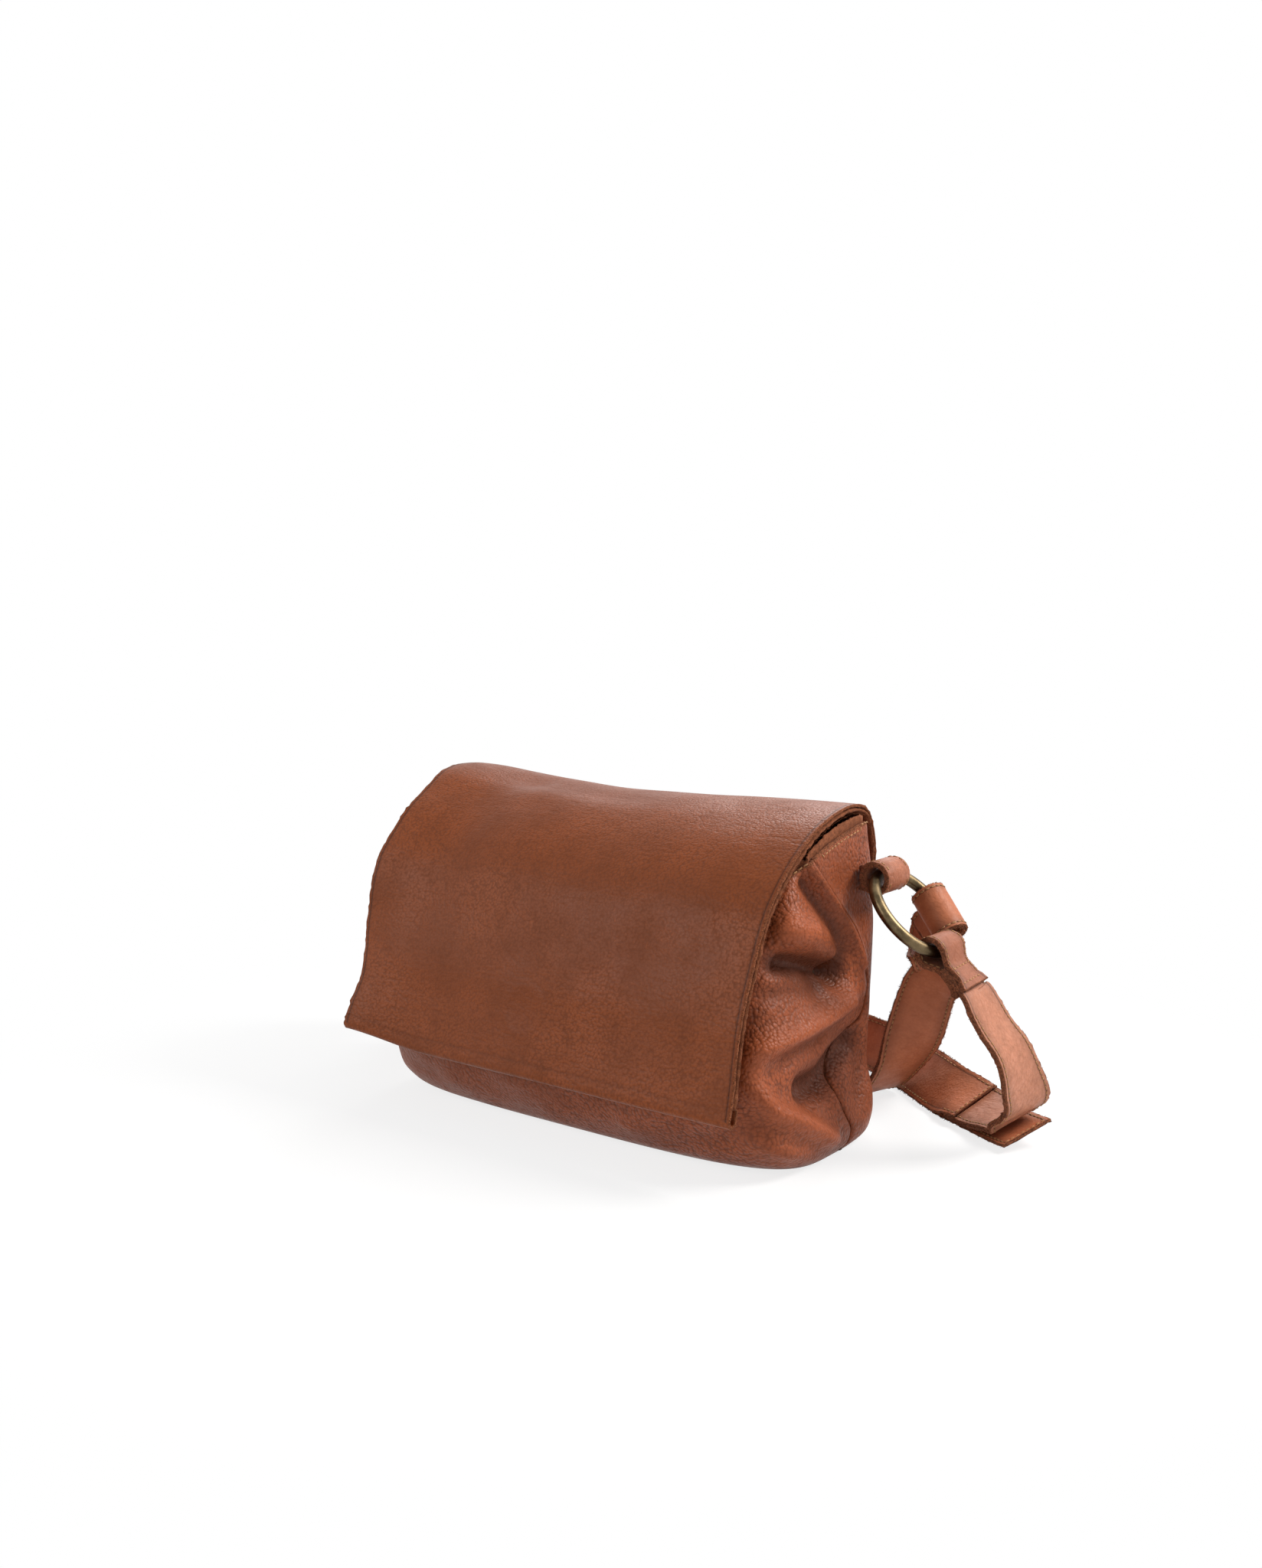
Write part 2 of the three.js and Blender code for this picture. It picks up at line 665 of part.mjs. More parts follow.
// Both legs over the outer side of the left ring
function leftBendStations(frame) {
  const radius = boreFor(strapWidth) + strapThickness / 2;
  const centre = frame.centre.clone().addScaledVector(frame.hang, ringRadius - arcRise(strapWidth) / 2);
  const across = frame.across.clone().negate();
  const at = (sideways, rise) => ({
    place: centre.clone().add(new THREE.Vector3(sideways, 0, rise)), across: across.clone(),
  });
  const stations = [at(radius, -strapWidth)];
  for (let degrees = 0; degrees <= 180; degrees += 30) {
    const turn = THREE.MathUtils.degToRad(degrees);
    stations.push(at(Math.cos(turn) * radius, Math.sin(turn) * radius));
  }
  stations.push(at(-radius, -strapWidth));
  return stations;
}

function groundStations(shares) {
  return shares.map(([place, across]) => groundStation(place, across));
}

function airStations(shares) {
  return shares.map(([[x, y, z], across]) => ({
    place: new THREE.Vector3((x * bagLength) / 2, y * backReach, z * bodyHeight),
    across: new THREE.Vector3(...across).normalize(),
  }));
}

// The long strap: one piece from the roll to the lap, whose layers part round the short strap's foot
function makeLongStrap(rightRing, leftRing) {
  const roll = rollStations(rightRing);
  const route = [
    ...roll,
    ...airStations(hangingLegShares),
    ...groundStations(innerRunShares),
    ...leftBendStations(leftRing),
    ...groundStations(outerRunShares),
    ...groundStations(lapShares),
  ];
  const fine = keepAboveGround(stationsThrough(route, lapSteps));
  const fork = fine.length - 1 - (lapShares.length - 1) * lapSteps;
  const widthAt = (number) => rollWidth + (strapWidth - rollWidth)
    * THREE.MathUtils.smoothstep(number / lapSteps, roll.length - 1, roll.length + 1);
  const whole = fine.slice(0, fork + 1).map((station, number) => crossSection(
    station, widthAt(number), [-strapLayer, 0, strapLayer]));
  const lap = fine.slice(fork);
  const lowerLayer = lap.map((station) => crossSection(station, strapWidth, [-strapLayer, 0]));
  const open = strapThickness + 2 * seamGap;
  const upperLayer = lap.slice(0, 2 * lapSteps).map((station, number) => {
    const parting = open * THREE.MathUtils.smoothstep(number / lapSteps, 0, 1);
    return crossSection(station, strapWidth, [parting, parting + strapLayer]);
  });
  addPiece('strap_long', joinSkins([
    sweptSkin(whole, true, false), sweptSkin(lowerLayer, false, true), sweptSkin(upperLayer, false, true),
  ]), strapLook);
  return lap;
}

// The tab: folded round the ring's outer side and sewn over the short strap's end
function makeTab(frame) {
  const bore = boreFor(tabNarrow - 2 * tabShift) + seamGap;
  const radius = bore + tabLeather / 2;
  const centre = frame.centre.clone()
    .addScaledVector(frame.hang, ringRadius - arcRise(tabNarrow) / 2 + tabPull)
    .addScaledVector(frame.across, tabShift);
  const side = frame.hang.clone().cross(frame.across);
  const closed = strapThickness / 2 + seamGap + tabLeather / 2;
  const end = tabReach + arcRise(tabNarrow) / 2 - tabPull;
  const at = (out, sideways) => ({
    place: centre.clone().addScaledVector(frame.hang, out).addScaledVector(side, sideways)
      .addScaledVector(frame.across, Math.max(0, -tabShift * out) / end),
    across: frame.across.clone(),
  });
  const neck = radius + tabLeather;
  const leg = [end, (end + neck) / 2, neck];
  const stations = leg.map((out) => at(out, -closed));
  for (let degrees = -50; degrees >= -310; degrees -= 26) {
    const turn = THREE.MathUtils.degToRad(degrees);
    stations.push(at(Math.cos(turn) * radius, Math.sin(turn) * radius));
  }
  stations.push(...leg.reverse().map((out) => at(out, closed)));
  const fine = stationsThrough(stations, 2);
  const reach = ({ place }) => place.clone().sub(centre).dot(frame.hang);
  const widthAt = (number) => tabNarrow
    + (tabWidth - tabNarrow) * THREE.MathUtils.smoothstep(reach(fine[number]), 0, neck);
  addPiece('strap_tab', ribbon(fine, tabLeather, widthAt), strapLook);
  return { neck, end, at };
}

// The short strap: from the tab down to a sharp fold, then its foot between the long strap's layers
const dropShares = [
  [[1.489, 1.138, 0.142], [0.34, 0.93, 0.10]],
  [[1.497, 0.992, 0.232], [0.18, 0.97, 0.12]],
  [[1.480, 0.846, 0.334], [0.05, 0.99, 0.10]],
  [[1.428, 0.752, 0.417], [0.02, 0.99, 0.05]],
];

function makeShortStrap(tab, lower) {
  const seat = strapLayer + seamGap;
  const foot = lower.slice(lapSteps, lower.length - 2).map(({ place, across, up }, number, all) => {
    const fromFold = all.length - 1 - number;
    const lift = seat + foldRise * (1 - THREE.MathUtils.smoothstep(fromFold, 0, lapSteps + 1));
    return { place: place.clone().addScaledVector(up, lift), across: across.clone(), up: up.clone() };
  });
  const last = foot[foot.length - 1];
  const outward = last.across.clone().cross(last.up).normalize();
  outward.multiplyScalar(Math.sign(outward.x));
  const fold = [-90, -45, 0].map((degrees) => {
    const turn = THREE.MathUtils.degToRad(degrees);
    return {
      place: last.place.clone()
        .addScaledVector(outward, foldRadius * (1 + Math.cos(turn)))
        .addScaledVector(last.up, foldRadius * (1 + Math.sin(turn))),
      across: last.across.clone(),
    };
  });
  const neck = [tab.end + strapThickness, tab.end, (tab.neck + tab.end) / 2, tab.neck];
  const rise = [last, ...fold, ...airStations(dropShares), ...neck.map((out) => tab.at(out, 0))];
  const fine = [...foot.slice(0, -1), ...stationsThrough(rise, lapSteps)];
  return addPiece('strap_short', ribbon(fine, strapThickness, () => strapWidth), strapLook);
}

const body = makeBody();
const { fittedShell, fittedLining, fittedOuter, fittedInner } = makeSnap(
  body.shell, body.lining, makeFlapOuter(flapFace, 1), makeFlapLining(flapFace, 1));

addPiece('body_front', toGeometry(halfOf(fittedShell, -1)), bodyLook);
addPiece('body_back', toGeometry(halfOf(fittedShell, 1)), bodyLook);
addPiece('mouth_facing_front', toGeometry(halfOf(body.facing, -1)), suedeLook);
addPiece('mouth_facing_back', toGeometry(halfOf(body.facing, 1)), suedeLook);
addPiece('lining', fittedLining, clothLook);
makePocket();

addPiece('flap_outer', fittedOuter, flapLook);
addPiece('flap_lining', fittedInner, suedeLook);
addPiece('flap_rear_outer', makeFlapOuter(rearFace, -1), flapLook);
addPiece('flap_rear_lining', makeFlapLining(rearFace, -1), suedeLook);

const rightRing = ringFrame(1);
const leftRing = ringFrame(-1);
makeRing(rightRing, 'ring_right');
makeRing(leftRing, 'ring_left');
makeAnchor(rightRing, 'right');
makeAnchor(leftRing, 'left');

const lap = makeLongStrap(rightRing, leftRing);
const tab = makeTab(rightRing);
makeShortStrap(tab, lap);

export default group;
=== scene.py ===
import math

import bmesh
import bpy
import numpy as np
from mathutils import Matrix, Vector, noise


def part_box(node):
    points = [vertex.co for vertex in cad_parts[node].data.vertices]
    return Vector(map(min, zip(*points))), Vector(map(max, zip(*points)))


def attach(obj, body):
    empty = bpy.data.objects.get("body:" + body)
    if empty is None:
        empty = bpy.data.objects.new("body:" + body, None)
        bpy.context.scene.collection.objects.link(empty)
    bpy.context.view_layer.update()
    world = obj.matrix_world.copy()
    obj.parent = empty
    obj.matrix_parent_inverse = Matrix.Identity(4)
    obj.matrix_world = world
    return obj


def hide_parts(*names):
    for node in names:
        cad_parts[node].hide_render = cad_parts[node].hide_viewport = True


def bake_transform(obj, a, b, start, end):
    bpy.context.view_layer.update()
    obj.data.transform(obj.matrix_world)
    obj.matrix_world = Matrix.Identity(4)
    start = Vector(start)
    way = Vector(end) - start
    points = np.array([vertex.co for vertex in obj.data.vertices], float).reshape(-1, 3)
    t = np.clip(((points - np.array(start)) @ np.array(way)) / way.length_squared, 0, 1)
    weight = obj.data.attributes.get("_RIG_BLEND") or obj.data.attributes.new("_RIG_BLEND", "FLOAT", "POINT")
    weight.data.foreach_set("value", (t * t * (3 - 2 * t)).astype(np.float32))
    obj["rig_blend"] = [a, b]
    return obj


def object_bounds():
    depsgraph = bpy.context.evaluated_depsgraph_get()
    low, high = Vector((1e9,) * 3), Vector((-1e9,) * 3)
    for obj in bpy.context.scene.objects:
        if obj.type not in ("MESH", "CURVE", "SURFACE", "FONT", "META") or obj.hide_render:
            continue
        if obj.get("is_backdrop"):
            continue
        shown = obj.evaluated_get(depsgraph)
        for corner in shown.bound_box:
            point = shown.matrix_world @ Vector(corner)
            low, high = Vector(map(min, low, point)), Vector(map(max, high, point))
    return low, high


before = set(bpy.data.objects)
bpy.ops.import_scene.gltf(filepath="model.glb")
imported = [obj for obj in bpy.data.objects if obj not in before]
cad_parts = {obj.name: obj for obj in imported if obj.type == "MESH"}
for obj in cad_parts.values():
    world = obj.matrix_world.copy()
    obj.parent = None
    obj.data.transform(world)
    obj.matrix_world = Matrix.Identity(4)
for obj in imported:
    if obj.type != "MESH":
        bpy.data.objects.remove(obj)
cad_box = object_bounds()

bl_info = {
    "name": "Flap shoulder bag",
    "version": (1, 0, 0),
    "blender": (4, 5, 0),
    "location": "3D View > Sidebar > Flap bag",
    "description": "Dresses the packed frame of a leather flap shoulder bag",
    "category": "Object",
}

# Sizes and colours that a user would change


def length(name, description, default):
    """A size in metres, shown in the sidebar."""
    return bpy.props.FloatProperty(
        name=name, description=description, default=default, min=0.0, unit="LENGTH", subtype="DISTANCE")


def colour(name, description, default):
    """A colour in scene linear values, shown in the sidebar."""
    return bpy.props.FloatVectorProperty(
        name=name, description=description, default=default, size=3, min=0.0, max=1.0, subtype="COLOR")


class BagSizes(bpy.types.PropertyGroup):
    """Sizes of the leather body and its lining"""

    bag_length: length("Bag length", "Length of the leather body at its widest", 0.316)
    body_height: length("Body height", "Height of the body's back wall", 0.190)
    front_reach: length("Front reach", "How far the body reaches in front of the middle", 0.085)
    back_reach: length("Back reach", "How far the body reaches behind the middle", 0.065)
    wall_bow: length("Wall bow", "How much the long walls draw in toward the ends", 0.0014)
    leather: length("Body leather", "Thickness of the body leather", 0.0022)
    facing: length("Mouth facing", "Thickness of the facing inside the mouth", 0.0014)
    facing_depth: length("Facing depth", "How far the facing reaches down inside", 0.032)
    cloth: length("Lining cloth", "Thickness of the lining", 0.0010)
    turn_in: length("Seam turn-in", "How deep the leather turns in at the end seams", 0.0022)


class FlapSizes(bpy.types.PropertyGroup):
    """Sizes of the flap"""

    left_edge: length("Left edge", "Distance of the flap's left edge from the bag's middle", 0.153)
    right_edge: length("Right edge", "Distance of the flap's right edge from the bag's middle", 0.142)
    outer_leather: length("Outer leather", "Thickness of the flap's outer leather", 0.0019)
    inner_leather: length("Inner leather", "Thickness of the flap's inner layer", 0.0015)
    hem: length("Hem", "Height of the hem turned under at the free edge", 0.009)


class StrapSizes(bpy.types.PropertyGroup):
    """Sizes of the straps, the tab and the end loops"""

    width: length("Strap width", "Width of the strap", 0.035)
    layer: length("Strap layer", "Thickness of one of the strap's two layers", 0.0017)
    roll_width: length("Roll width", "Width of the strap's end that is rolled round the ring", 0.031)
    tab_leather: length("Tab leather", "Thickness of the tab", 0.0024)
    tab_width: length("Tab width", "Width of the tab's sewn end", 0.034)
    tab_neck: length("Tab neck", "Width of the tab round the ring", 0.024)
    loop_width: length("Loop width", "Width of the end loops", 0.026)
    loop_leather: length("Loop leather", "Thickness of the end loops", 0.0034)


class HardwareSizes(bpy.types.PropertyGroup):
    """Sizes of the brass rings and of the thread"""

    ring_radius: length("Ring radius", "Radius of the ring at the middle of its wire", 0.02825)
    ring_wire: length("Ring wire", "Radius of the ring's wire", 0.0035)
    stitch_pitch: length("Stitch pitch", "Length of one stitch and its gap", 0.0037)
    stitch_inset: length("Stitch inset", "Distance of a stitch row from the edge", 0.0028)
    thread: length("Thread", "Thickness of the thread", 0.00100)


class BagColours(bpy.types.PropertyGroup):
    """Colours of the leathers, suede, cloth, thread and brass"""

    flap: colour("Flap leather", "Smooth waxed leather of the flap", (0.200, 0.049, 0.0135))
    body: colour("Body leather", "Soft pebbled leather of the body", (0.252, 0.059, 0.0185))
    strap: colour("Strap leather", "Leather of the long strap", (0.450, 0.142, 0.062))
    # The pale base is partly the short strap's own paler tone and partly painted light, standing in for the key lamp
    # and sheen that brighten the short strap.
    pale: colour("Pale leather", "Paler leather of the short strap", (0.430, 0.172, 0.098))
    loop: colour("Loop leather", "Leather of the end loops, their feet and the tab", (0.325, 0.108, 0.053))
    suede: colour("Suede", "Raw cut edges and flesh side", (0.215, 0.070, 0.030))
    cloth: colour("Lining cloth", "Cotton lining", (0.105, 0.062, 0.038))
    thread: colour("Thread", "Sewing thread", (0.340, 0.165, 0.062))
    brass: colour("Antique brass", "Rings and snap", (0.150, 0.108, 0.058))


class BagSettings(bpy.types.PropertyGroup):
    """All settings of the bag"""

    bag: bpy.props.PointerProperty(type=BagSizes)
    flap: bpy.props.PointerProperty(type=FlapSizes)
    strap: bpy.props.PointerProperty(type=StrapSizes)
    hardware: bpy.props.PointerProperty(type=HardwareSizes)
    colours: bpy.props.PointerProperty(type=BagColours)


# Sizes and places that several pieces share, in metres

GAP = 0.0003                  # between two layers that lie on each other
HAIR = 0.00002                # between a strap's two layers, and under a stitch
BASE_ROWS = 14                # rows of the body's grid that lie under the bag
FLAP_WIDTH = 0.295            # width that the flap's grid and stitch rows are measured by
FOOT_PLACE = (0.041, 0.158)   # where a loop's foot is sewn on the bag's end: back and up
SNAP_PLACE = (-0.010, 0.078)  # where the snap sits on the front: across and up
FIBRE_ROOM = 0.0040           # the loops' fibres start this far out from the feet, so that a lifted strap clears them


# Curves and frames along them


def hermite(p1, p2, t1, t2, w):
    """A point between p1 and p2 on the cubic with the tangents t1 and t2."""
    square, cube = w * w, w * w * w
    return (p1 * (2 * cube - 3 * square + 1) + t1 * (cube - 2 * square + w)
            + p2 * (3 * square - 2 * cube) + t2 * (cube - square))


def curve_at(points, share, power=0.25):
    """A point on the smooth curve through points; power 0.25 keeps it tight at uneven spacing."""
    last = len(points) - 1
    walk = min(max(share, 0.0), 1.0) * last
    i = min(int(walk), last - 1)
    p1, p2 = points[i], points[i + 1]
    p0 = points[i - 1] if i > 0 else p1 * 2 - p2
    p3 = points[i + 2] if i + 2 <= last else p2 * 2 - p1
    d0, d1, d2 = (max((b - a).length_squared ** power, 1e-6) for a, b in ((p0, p1), (p1, p2), (p2, p3)))
    t1 = ((p1 - p0) / d0 - (p2 - p0) / (d0 + d1) + (p2 - p1) / d1) * d1
    t2 = ((p2 - p1) / d1 - (p3 - p1) / (d1 + d2) + (p3 - p2) / d2) * d1
    return hermite(p1, p2, t1, t2, walk - i)


def smooth_row(rows, at):
    """The values of a table of rows at a place in its first column, smoothly between the rows."""
    rows = np.asarray(rows, float)
    keys, values = rows[:, 0], rows[:, 1:]
    slopes = np.gradient(values, keys, axis=0)
    at = np.clip(np.asarray(at, float), keys[0], keys[-1])
    i = np.clip(np.searchsorted(keys, at, side="right") - 1, 0, len(keys) - 2)
    gap = (keys[i + 1] - keys[i])[..., None]
    w = (at - keys[i])[..., None] / gap
    return hermite(values[i], values[i + 1], slopes[i] * gap, slopes[i + 1] * gap, w)


def ease(value, low, high):
    """0 below low, 1 above high and a smooth step between."""
    share = np.clip((np.asarray(value, float) - low) / (high - low), 0.0, 1.0)
    return share * share * (3 - 2 * share)


class Station:
    """A place on a strap, with its directions across, along and up."""

    def __init__(self, place, across, along, share):
        self.place = place
        self.along = along
        self.across = (across - along * across.dot(along)).normalized()
        self.up = self.along.cross(self.across).normalized()
        self.share = share
        self.walk = 0.0


def station_at(route, share):
    """The frame at a share of a route of (place, across) pairs."""
    places = [place for place, _ in route]
    step = 1e-4
    ahead = curve_at(places, share + step)
    behind = curve_at(places, share - step)
    across = curve_at([way for _, way in route], share, 0.0)
    return Station(curve_at(places, share), across, (ahead - behind).normalized(), share)


def stations_along(route, start=0.0, end=1.0, spacing=0.004, bend=0.16):
    """Frames from one share to another, closer together where the route bends."""
    count = max(int((end - start) * (len(route) - 1) * 24), 8)
    dense = [station_at(route, start + (end - start) * n / count) for n in range(count + 1)]
    effort, walk = [0.0], [0.0]
    for a, b in zip(dense, dense[1:]):
        gap = (b.place - a.place).length
        turn = a.along.angle(b.along, 0.0) + 0.5 * a.across.angle(b.across, 0.0)
        effort.append(effort[-1] + gap / spacing + turn / bend)
        walk.append(walk[-1] + gap)
    steps = max(int(effort[-1]), 4)
    shares = np.interp(np.linspace(0, effort[-1], steps + 1), effort, [s.share for s in dense])
    chosen = [station_at(route, share) for share in shares]
    for station in chosen:
        station.walk = float(np.interp(station.share, [s.share for s in dense], walk))
    return chosen


# Meshes


def kept_mesh(name, bm):
    """Turns a bmesh into a mesh and frees it."""
    mesh = bpy.data.meshes.new(name)
    bm.to_mesh(mesh)
    bm.free()
    return mesh


def new_object(name, bm, material):
    """Makes a smooth object of a bmesh, with nothing below the ground."""
    for v in bm.verts:
        v.co.z = max(v.co.z, 0.0)
    mesh = kept_mesh(name, bm)
    mesh.shade_smooth()
    mesh.materials.append(material)
    made = bpy.data.objects.new(name, mesh)
    bpy.context.scene.collection.objects.link(made)
    return made


def new_piece(settings, name, bm, kind, body=None, nodes=()):
    """Makes a piece of a kind of surface, rides it on a body and lets it stand for CAD nodes."""
    piece = new_object(name, bm, look(settings, kind))
    if body:
        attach(piece, body)
    if nodes:
        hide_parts(*nodes)
    return piece


def float_layers(bm, *names):
    return [bm.verts.layers.float.get(n) or bm.verts.layers.float.new(n) for n in names]


def grid_sheet(places, outward=1):
    """A sheet through places[row, column]; outward is -1 where the grid's faces point inward."""
    rows, columns = places.shape[0] - 1, places.shape[1] - 1
    bm = bmesh.new()
    float_layers(bm, "edge", "seam")
    bmesh.ops.create_grid(bm, x_segments=columns, y_segments=rows, size=1.0)
    for v in bm.verts:
        v.co = places[round((v.co.y + 1) / 2 * rows), round((v.co.x + 1) / 2 * columns)]
    if outward < 0:
        bmesh.ops.reverse_faces(bm, faces=bm.faces[:])
    return bm


def grid_normals(places):
    """Normals of a grid of places, along columns cross rows."""
    by_row = np.gradient(places, axis=0)
    by_column = np.gradient(places, axis=1)
    normals = np.cross(by_column, by_row)
    return normals / np.maximum(np.linalg.norm(normals, axis=-1, keepdims=True), 1e-12)


def strap_profile(settings, width, low, high, rounding=0.0005, dip=0.00018):
    """Cross-section of one strap layer: rounded edges, and a dip along the stitch rows. Each corner has its
    place across, its height, and how raw and how sunk it is."""
    half = width / 2
    row = half - settings.hardware.stitch_inset
    right = list(zip((half * 0.45, row - 0.0009, row, row + 0.0009, half - rounding), (0, 0.3, 1, 0.3, 0),
                     (0, 0, 0, 0, 0.5)))
    face = [(-u, sunk, raw) for u, sunk, raw in reversed(right)] + [(0.0, 0, 0)] + right
    top = [(u, high - dip * sunk, raw, sunk) for u, sunk, raw in face]
    bottom = [(u, low + dip * sunk, raw, sunk) for u, sunk, raw in reversed(face)]
    shoulder, middle = rounding * 0.3, (low + high) / 2
    edge = [(half - shoulder, high - shoulder, 0.95, 0), (half, middle + (high - middle) * 0.4, 1.0, 0),
            (half, middle - (middle - low) * 0.4, 1.0, 0), (half - shoulder, low + shoulder, 0.95, 0)]
    return top + edge + bottom + [(-u, height, raw, sunk) for u, height, raw, sunk in reversed(edge)]


def sweep(bm, profile, stations, stretch, lift=lambda s: 0.0):
    """Carries a closed cross-section through the stations and closes both ends."""
    tube = bmesh.new()
    edge, seam = float_layers(tube, "edge", "seam")
    columns, rows = len(profile), len(stations) - 1
    bmesh.ops.create_grid(tube, x_segments=columns, y_segments=rows, size=1.0)
    for v in tube.verts:
        s = stations[round((v.co.y + 1) / 2 * rows)]
        across, height, v[edge], v[seam] = profile[round((v.co.x + 1) / 2 * columns) % columns]
        v.co = s.place + s.across * (across * stretch(s)) + s.up * (height + lift(s))
    bmesh.ops.remove_doubles(tube, verts=tube.verts[:], dist=1e-7)
    ends = [e for e in tube.edges if e.is_boundary]
    for e in ends:
        for v in e.verts:
            v[edge] = 1.0
    bmesh.ops.holes_fill(tube, edges=ends, sides=0)
    bmesh.ops.recalc_face_normals(tube, faces=tube.faces[:])
    bm.from_mesh(kept_mesh("tube", tube))
    return bm


def full_spin(bm, geom, centre, axis, steps):
    """Turns a closed outline once round an axis."""
    bmesh.ops.spin(bm, geom=geom, cent=centre, axis=axis, angle=math.tau, steps=steps, use_merge=True)
    bmesh.ops.remove_doubles(bm, verts=bm.verts[:], dist=1e-6)
    bmesh.ops.recalc_face_normals(bm, faces=bm.faces[:])


def fray(bm, amount, scale=700.0):
    """Makes the raw cut edges uneven."""
    edge, = float_layers(bm, "edge")
    bm.normal_update()
    moves = []
    for v in bm.verts:
        if v[edge] > 0.5:
            wave = noise.noise(v.co * scale) + 0.8 * noise.noise(v.co * scale * 2.7)
            moves.append((v, v.normal * wave * amount * 2.0))
    for v, move in moves:
        v.co += move


class Scatter:
    """Copies of one small mesh, set along lines and gathered in one piece."""

    kind = ""

    def __init__(self, settings):
        self.settings = settings
        small = bmesh.new()
        self.shape(small)
        self.small = kept_mesh(self.kind, small)
        self.bm = bmesh.new()

    def add(self, matrix):
        self.small.transform(matrix)
        self.bm.from_mesh(self.small)
        self.small.transform(matrix.inverted())

    def walk(self, spots, ups, start, stop_short=0.0, last=None):
        """Sets copies along a line of spots; each says how far it is to the next."""
        walks = [0.0]
        for a, b in zip(spots, spots[1:]):
            walks.append(walks[-1] + (b - a).length)
        if last is None:
            last = walks[-1] - stop_short
        walk, i = start, 1
        while walk < last:
            while i < len(walks) - 1 and walks[i] < walk:
                i += 1
            w = (walk - walks[i - 1]) / max(walks[i] - walks[i - 1], 1e-9)
            walk += self.put(spots[i - 1].lerp(spots[i], w), spots[i] - spots[i - 1], ups[i - 1].lerp(ups[i], w))

    def edges(self, runs, reach):
        """Lines along both edges of a strap: runs of (stations, height, what line() takes), reach(s) from its
        middle."""
        for side in (-1, 1):
            for stations, height, *more in runs:
                spots = [s.place + s.across * (side * reach(s)) + s.up * height for s in stations]
                self.line(spots, self.ways(stations, side, height), *more)

    def done(self, name, body=None):
        return new_piece(self.settings, name, self.bm, self.kind, body)


class Thread(Scatter):
    """Rows of stitches. Each stitch is a short flattened bead."""

    kind = "thread"

    def shape(self, bm):
        bmesh.ops.create_uvsphere(bm, u_segments=6, v_segments=4, radius=1.0)

    def put(self, spot, along, up):
        """One stitch at a spot, lying along a direction, with its flat side up."""
        pitch, thick = self.settings.hardware.stitch_pitch, self.settings.hardware.thread
        along = along.normalized()
        side = up.cross(along).normalized()
        turn = Matrix((along, side, along.cross(side))).transposed().to_4x4()
        self.add(Matrix.Translation(spot) @ turn @ Matrix.Diagonal((pitch * 0.43, thick * 0.5, thick * 0.42, 1)))
        return pitch

    def line(self, spots, ups, start=None, last=None):
        """Stitches at an even pitch along a line of spots."""
        pitch = self.settings.hardware.stitch_pitch
        self.walk(spots, ups, pitch if start is None else start, pitch, last)

    def ways(self, stations, side, height):
        return [s.up * math.copysign(1, height) for s in stations]

    def across(self, stations, from_end, reach, height, start=0.002):
        """A row straight across a strap, at a distance from the last of its stations."""
        s = min(stations, key=lambda one: abs(abs(one.walk - stations[-1].walk) - from_end))
        spots = [s.place + s.across * (reach(s) * k / 8) + s.up * height for k in range(-8, 9)]
        self.line(spots, self.ways([s] * len(spots), 0, height), start, 2 * reach(s))


FIBRE_SEED = 11  # noise_vector is shifted by the clock unless a seed is set


class Fringe(Scatter):
    """Loose fibres at raw edges; their lengths and leans are uneven."""

    kind = "suede"

    def shape(self, bm):
        bmesh.ops.create_cone(bm, cap_ends=False, segments=3, radius1=1.0, radius2=0.15, depth=1.0)
        bmesh.ops.translate(bm, verts=bm.verts[:], vec=(0, 0, 0.4))

    def put(self, spot, along, out):
        """One fibre that points out from a line."""
        along, out = along.normalized(), out.normalized()
        side = out.cross(along)
        rough = noise.noise_vector(spot * 2300.0)
        way = (out + along * rough.x * 1.3 + side * rough.y * 1.1).normalized()
        size = self.reach * (0.55 + 1.1 * abs(rough.z))
        turn = way.to_track_quat("Z", "X").to_matrix().to_4x4()
        self.add(Matrix.Translation(spot + side * rough.y * self.spread - out * 0.0002) @ turn
                 @ Matrix.Diagonal((size * 0.16, size * 0.16, size, 1)))
        return self.spacing * (0.7 + 0.6 * abs(rough.z))

    def line(self, spots, outs, spacing=0.0010, reach=0.0012, spread=0.0006):
        """Fibres along a line of spots, pointing out."""
        noise.seed_set(FIBRE_SEED)
        self.spacing, self.reach, self.spread = spacing, reach, spread
        self.walk(spots, outs, spacing)

    def ways(self, stations, side, height):
        return [s.across * side for s in stations]


# Looks


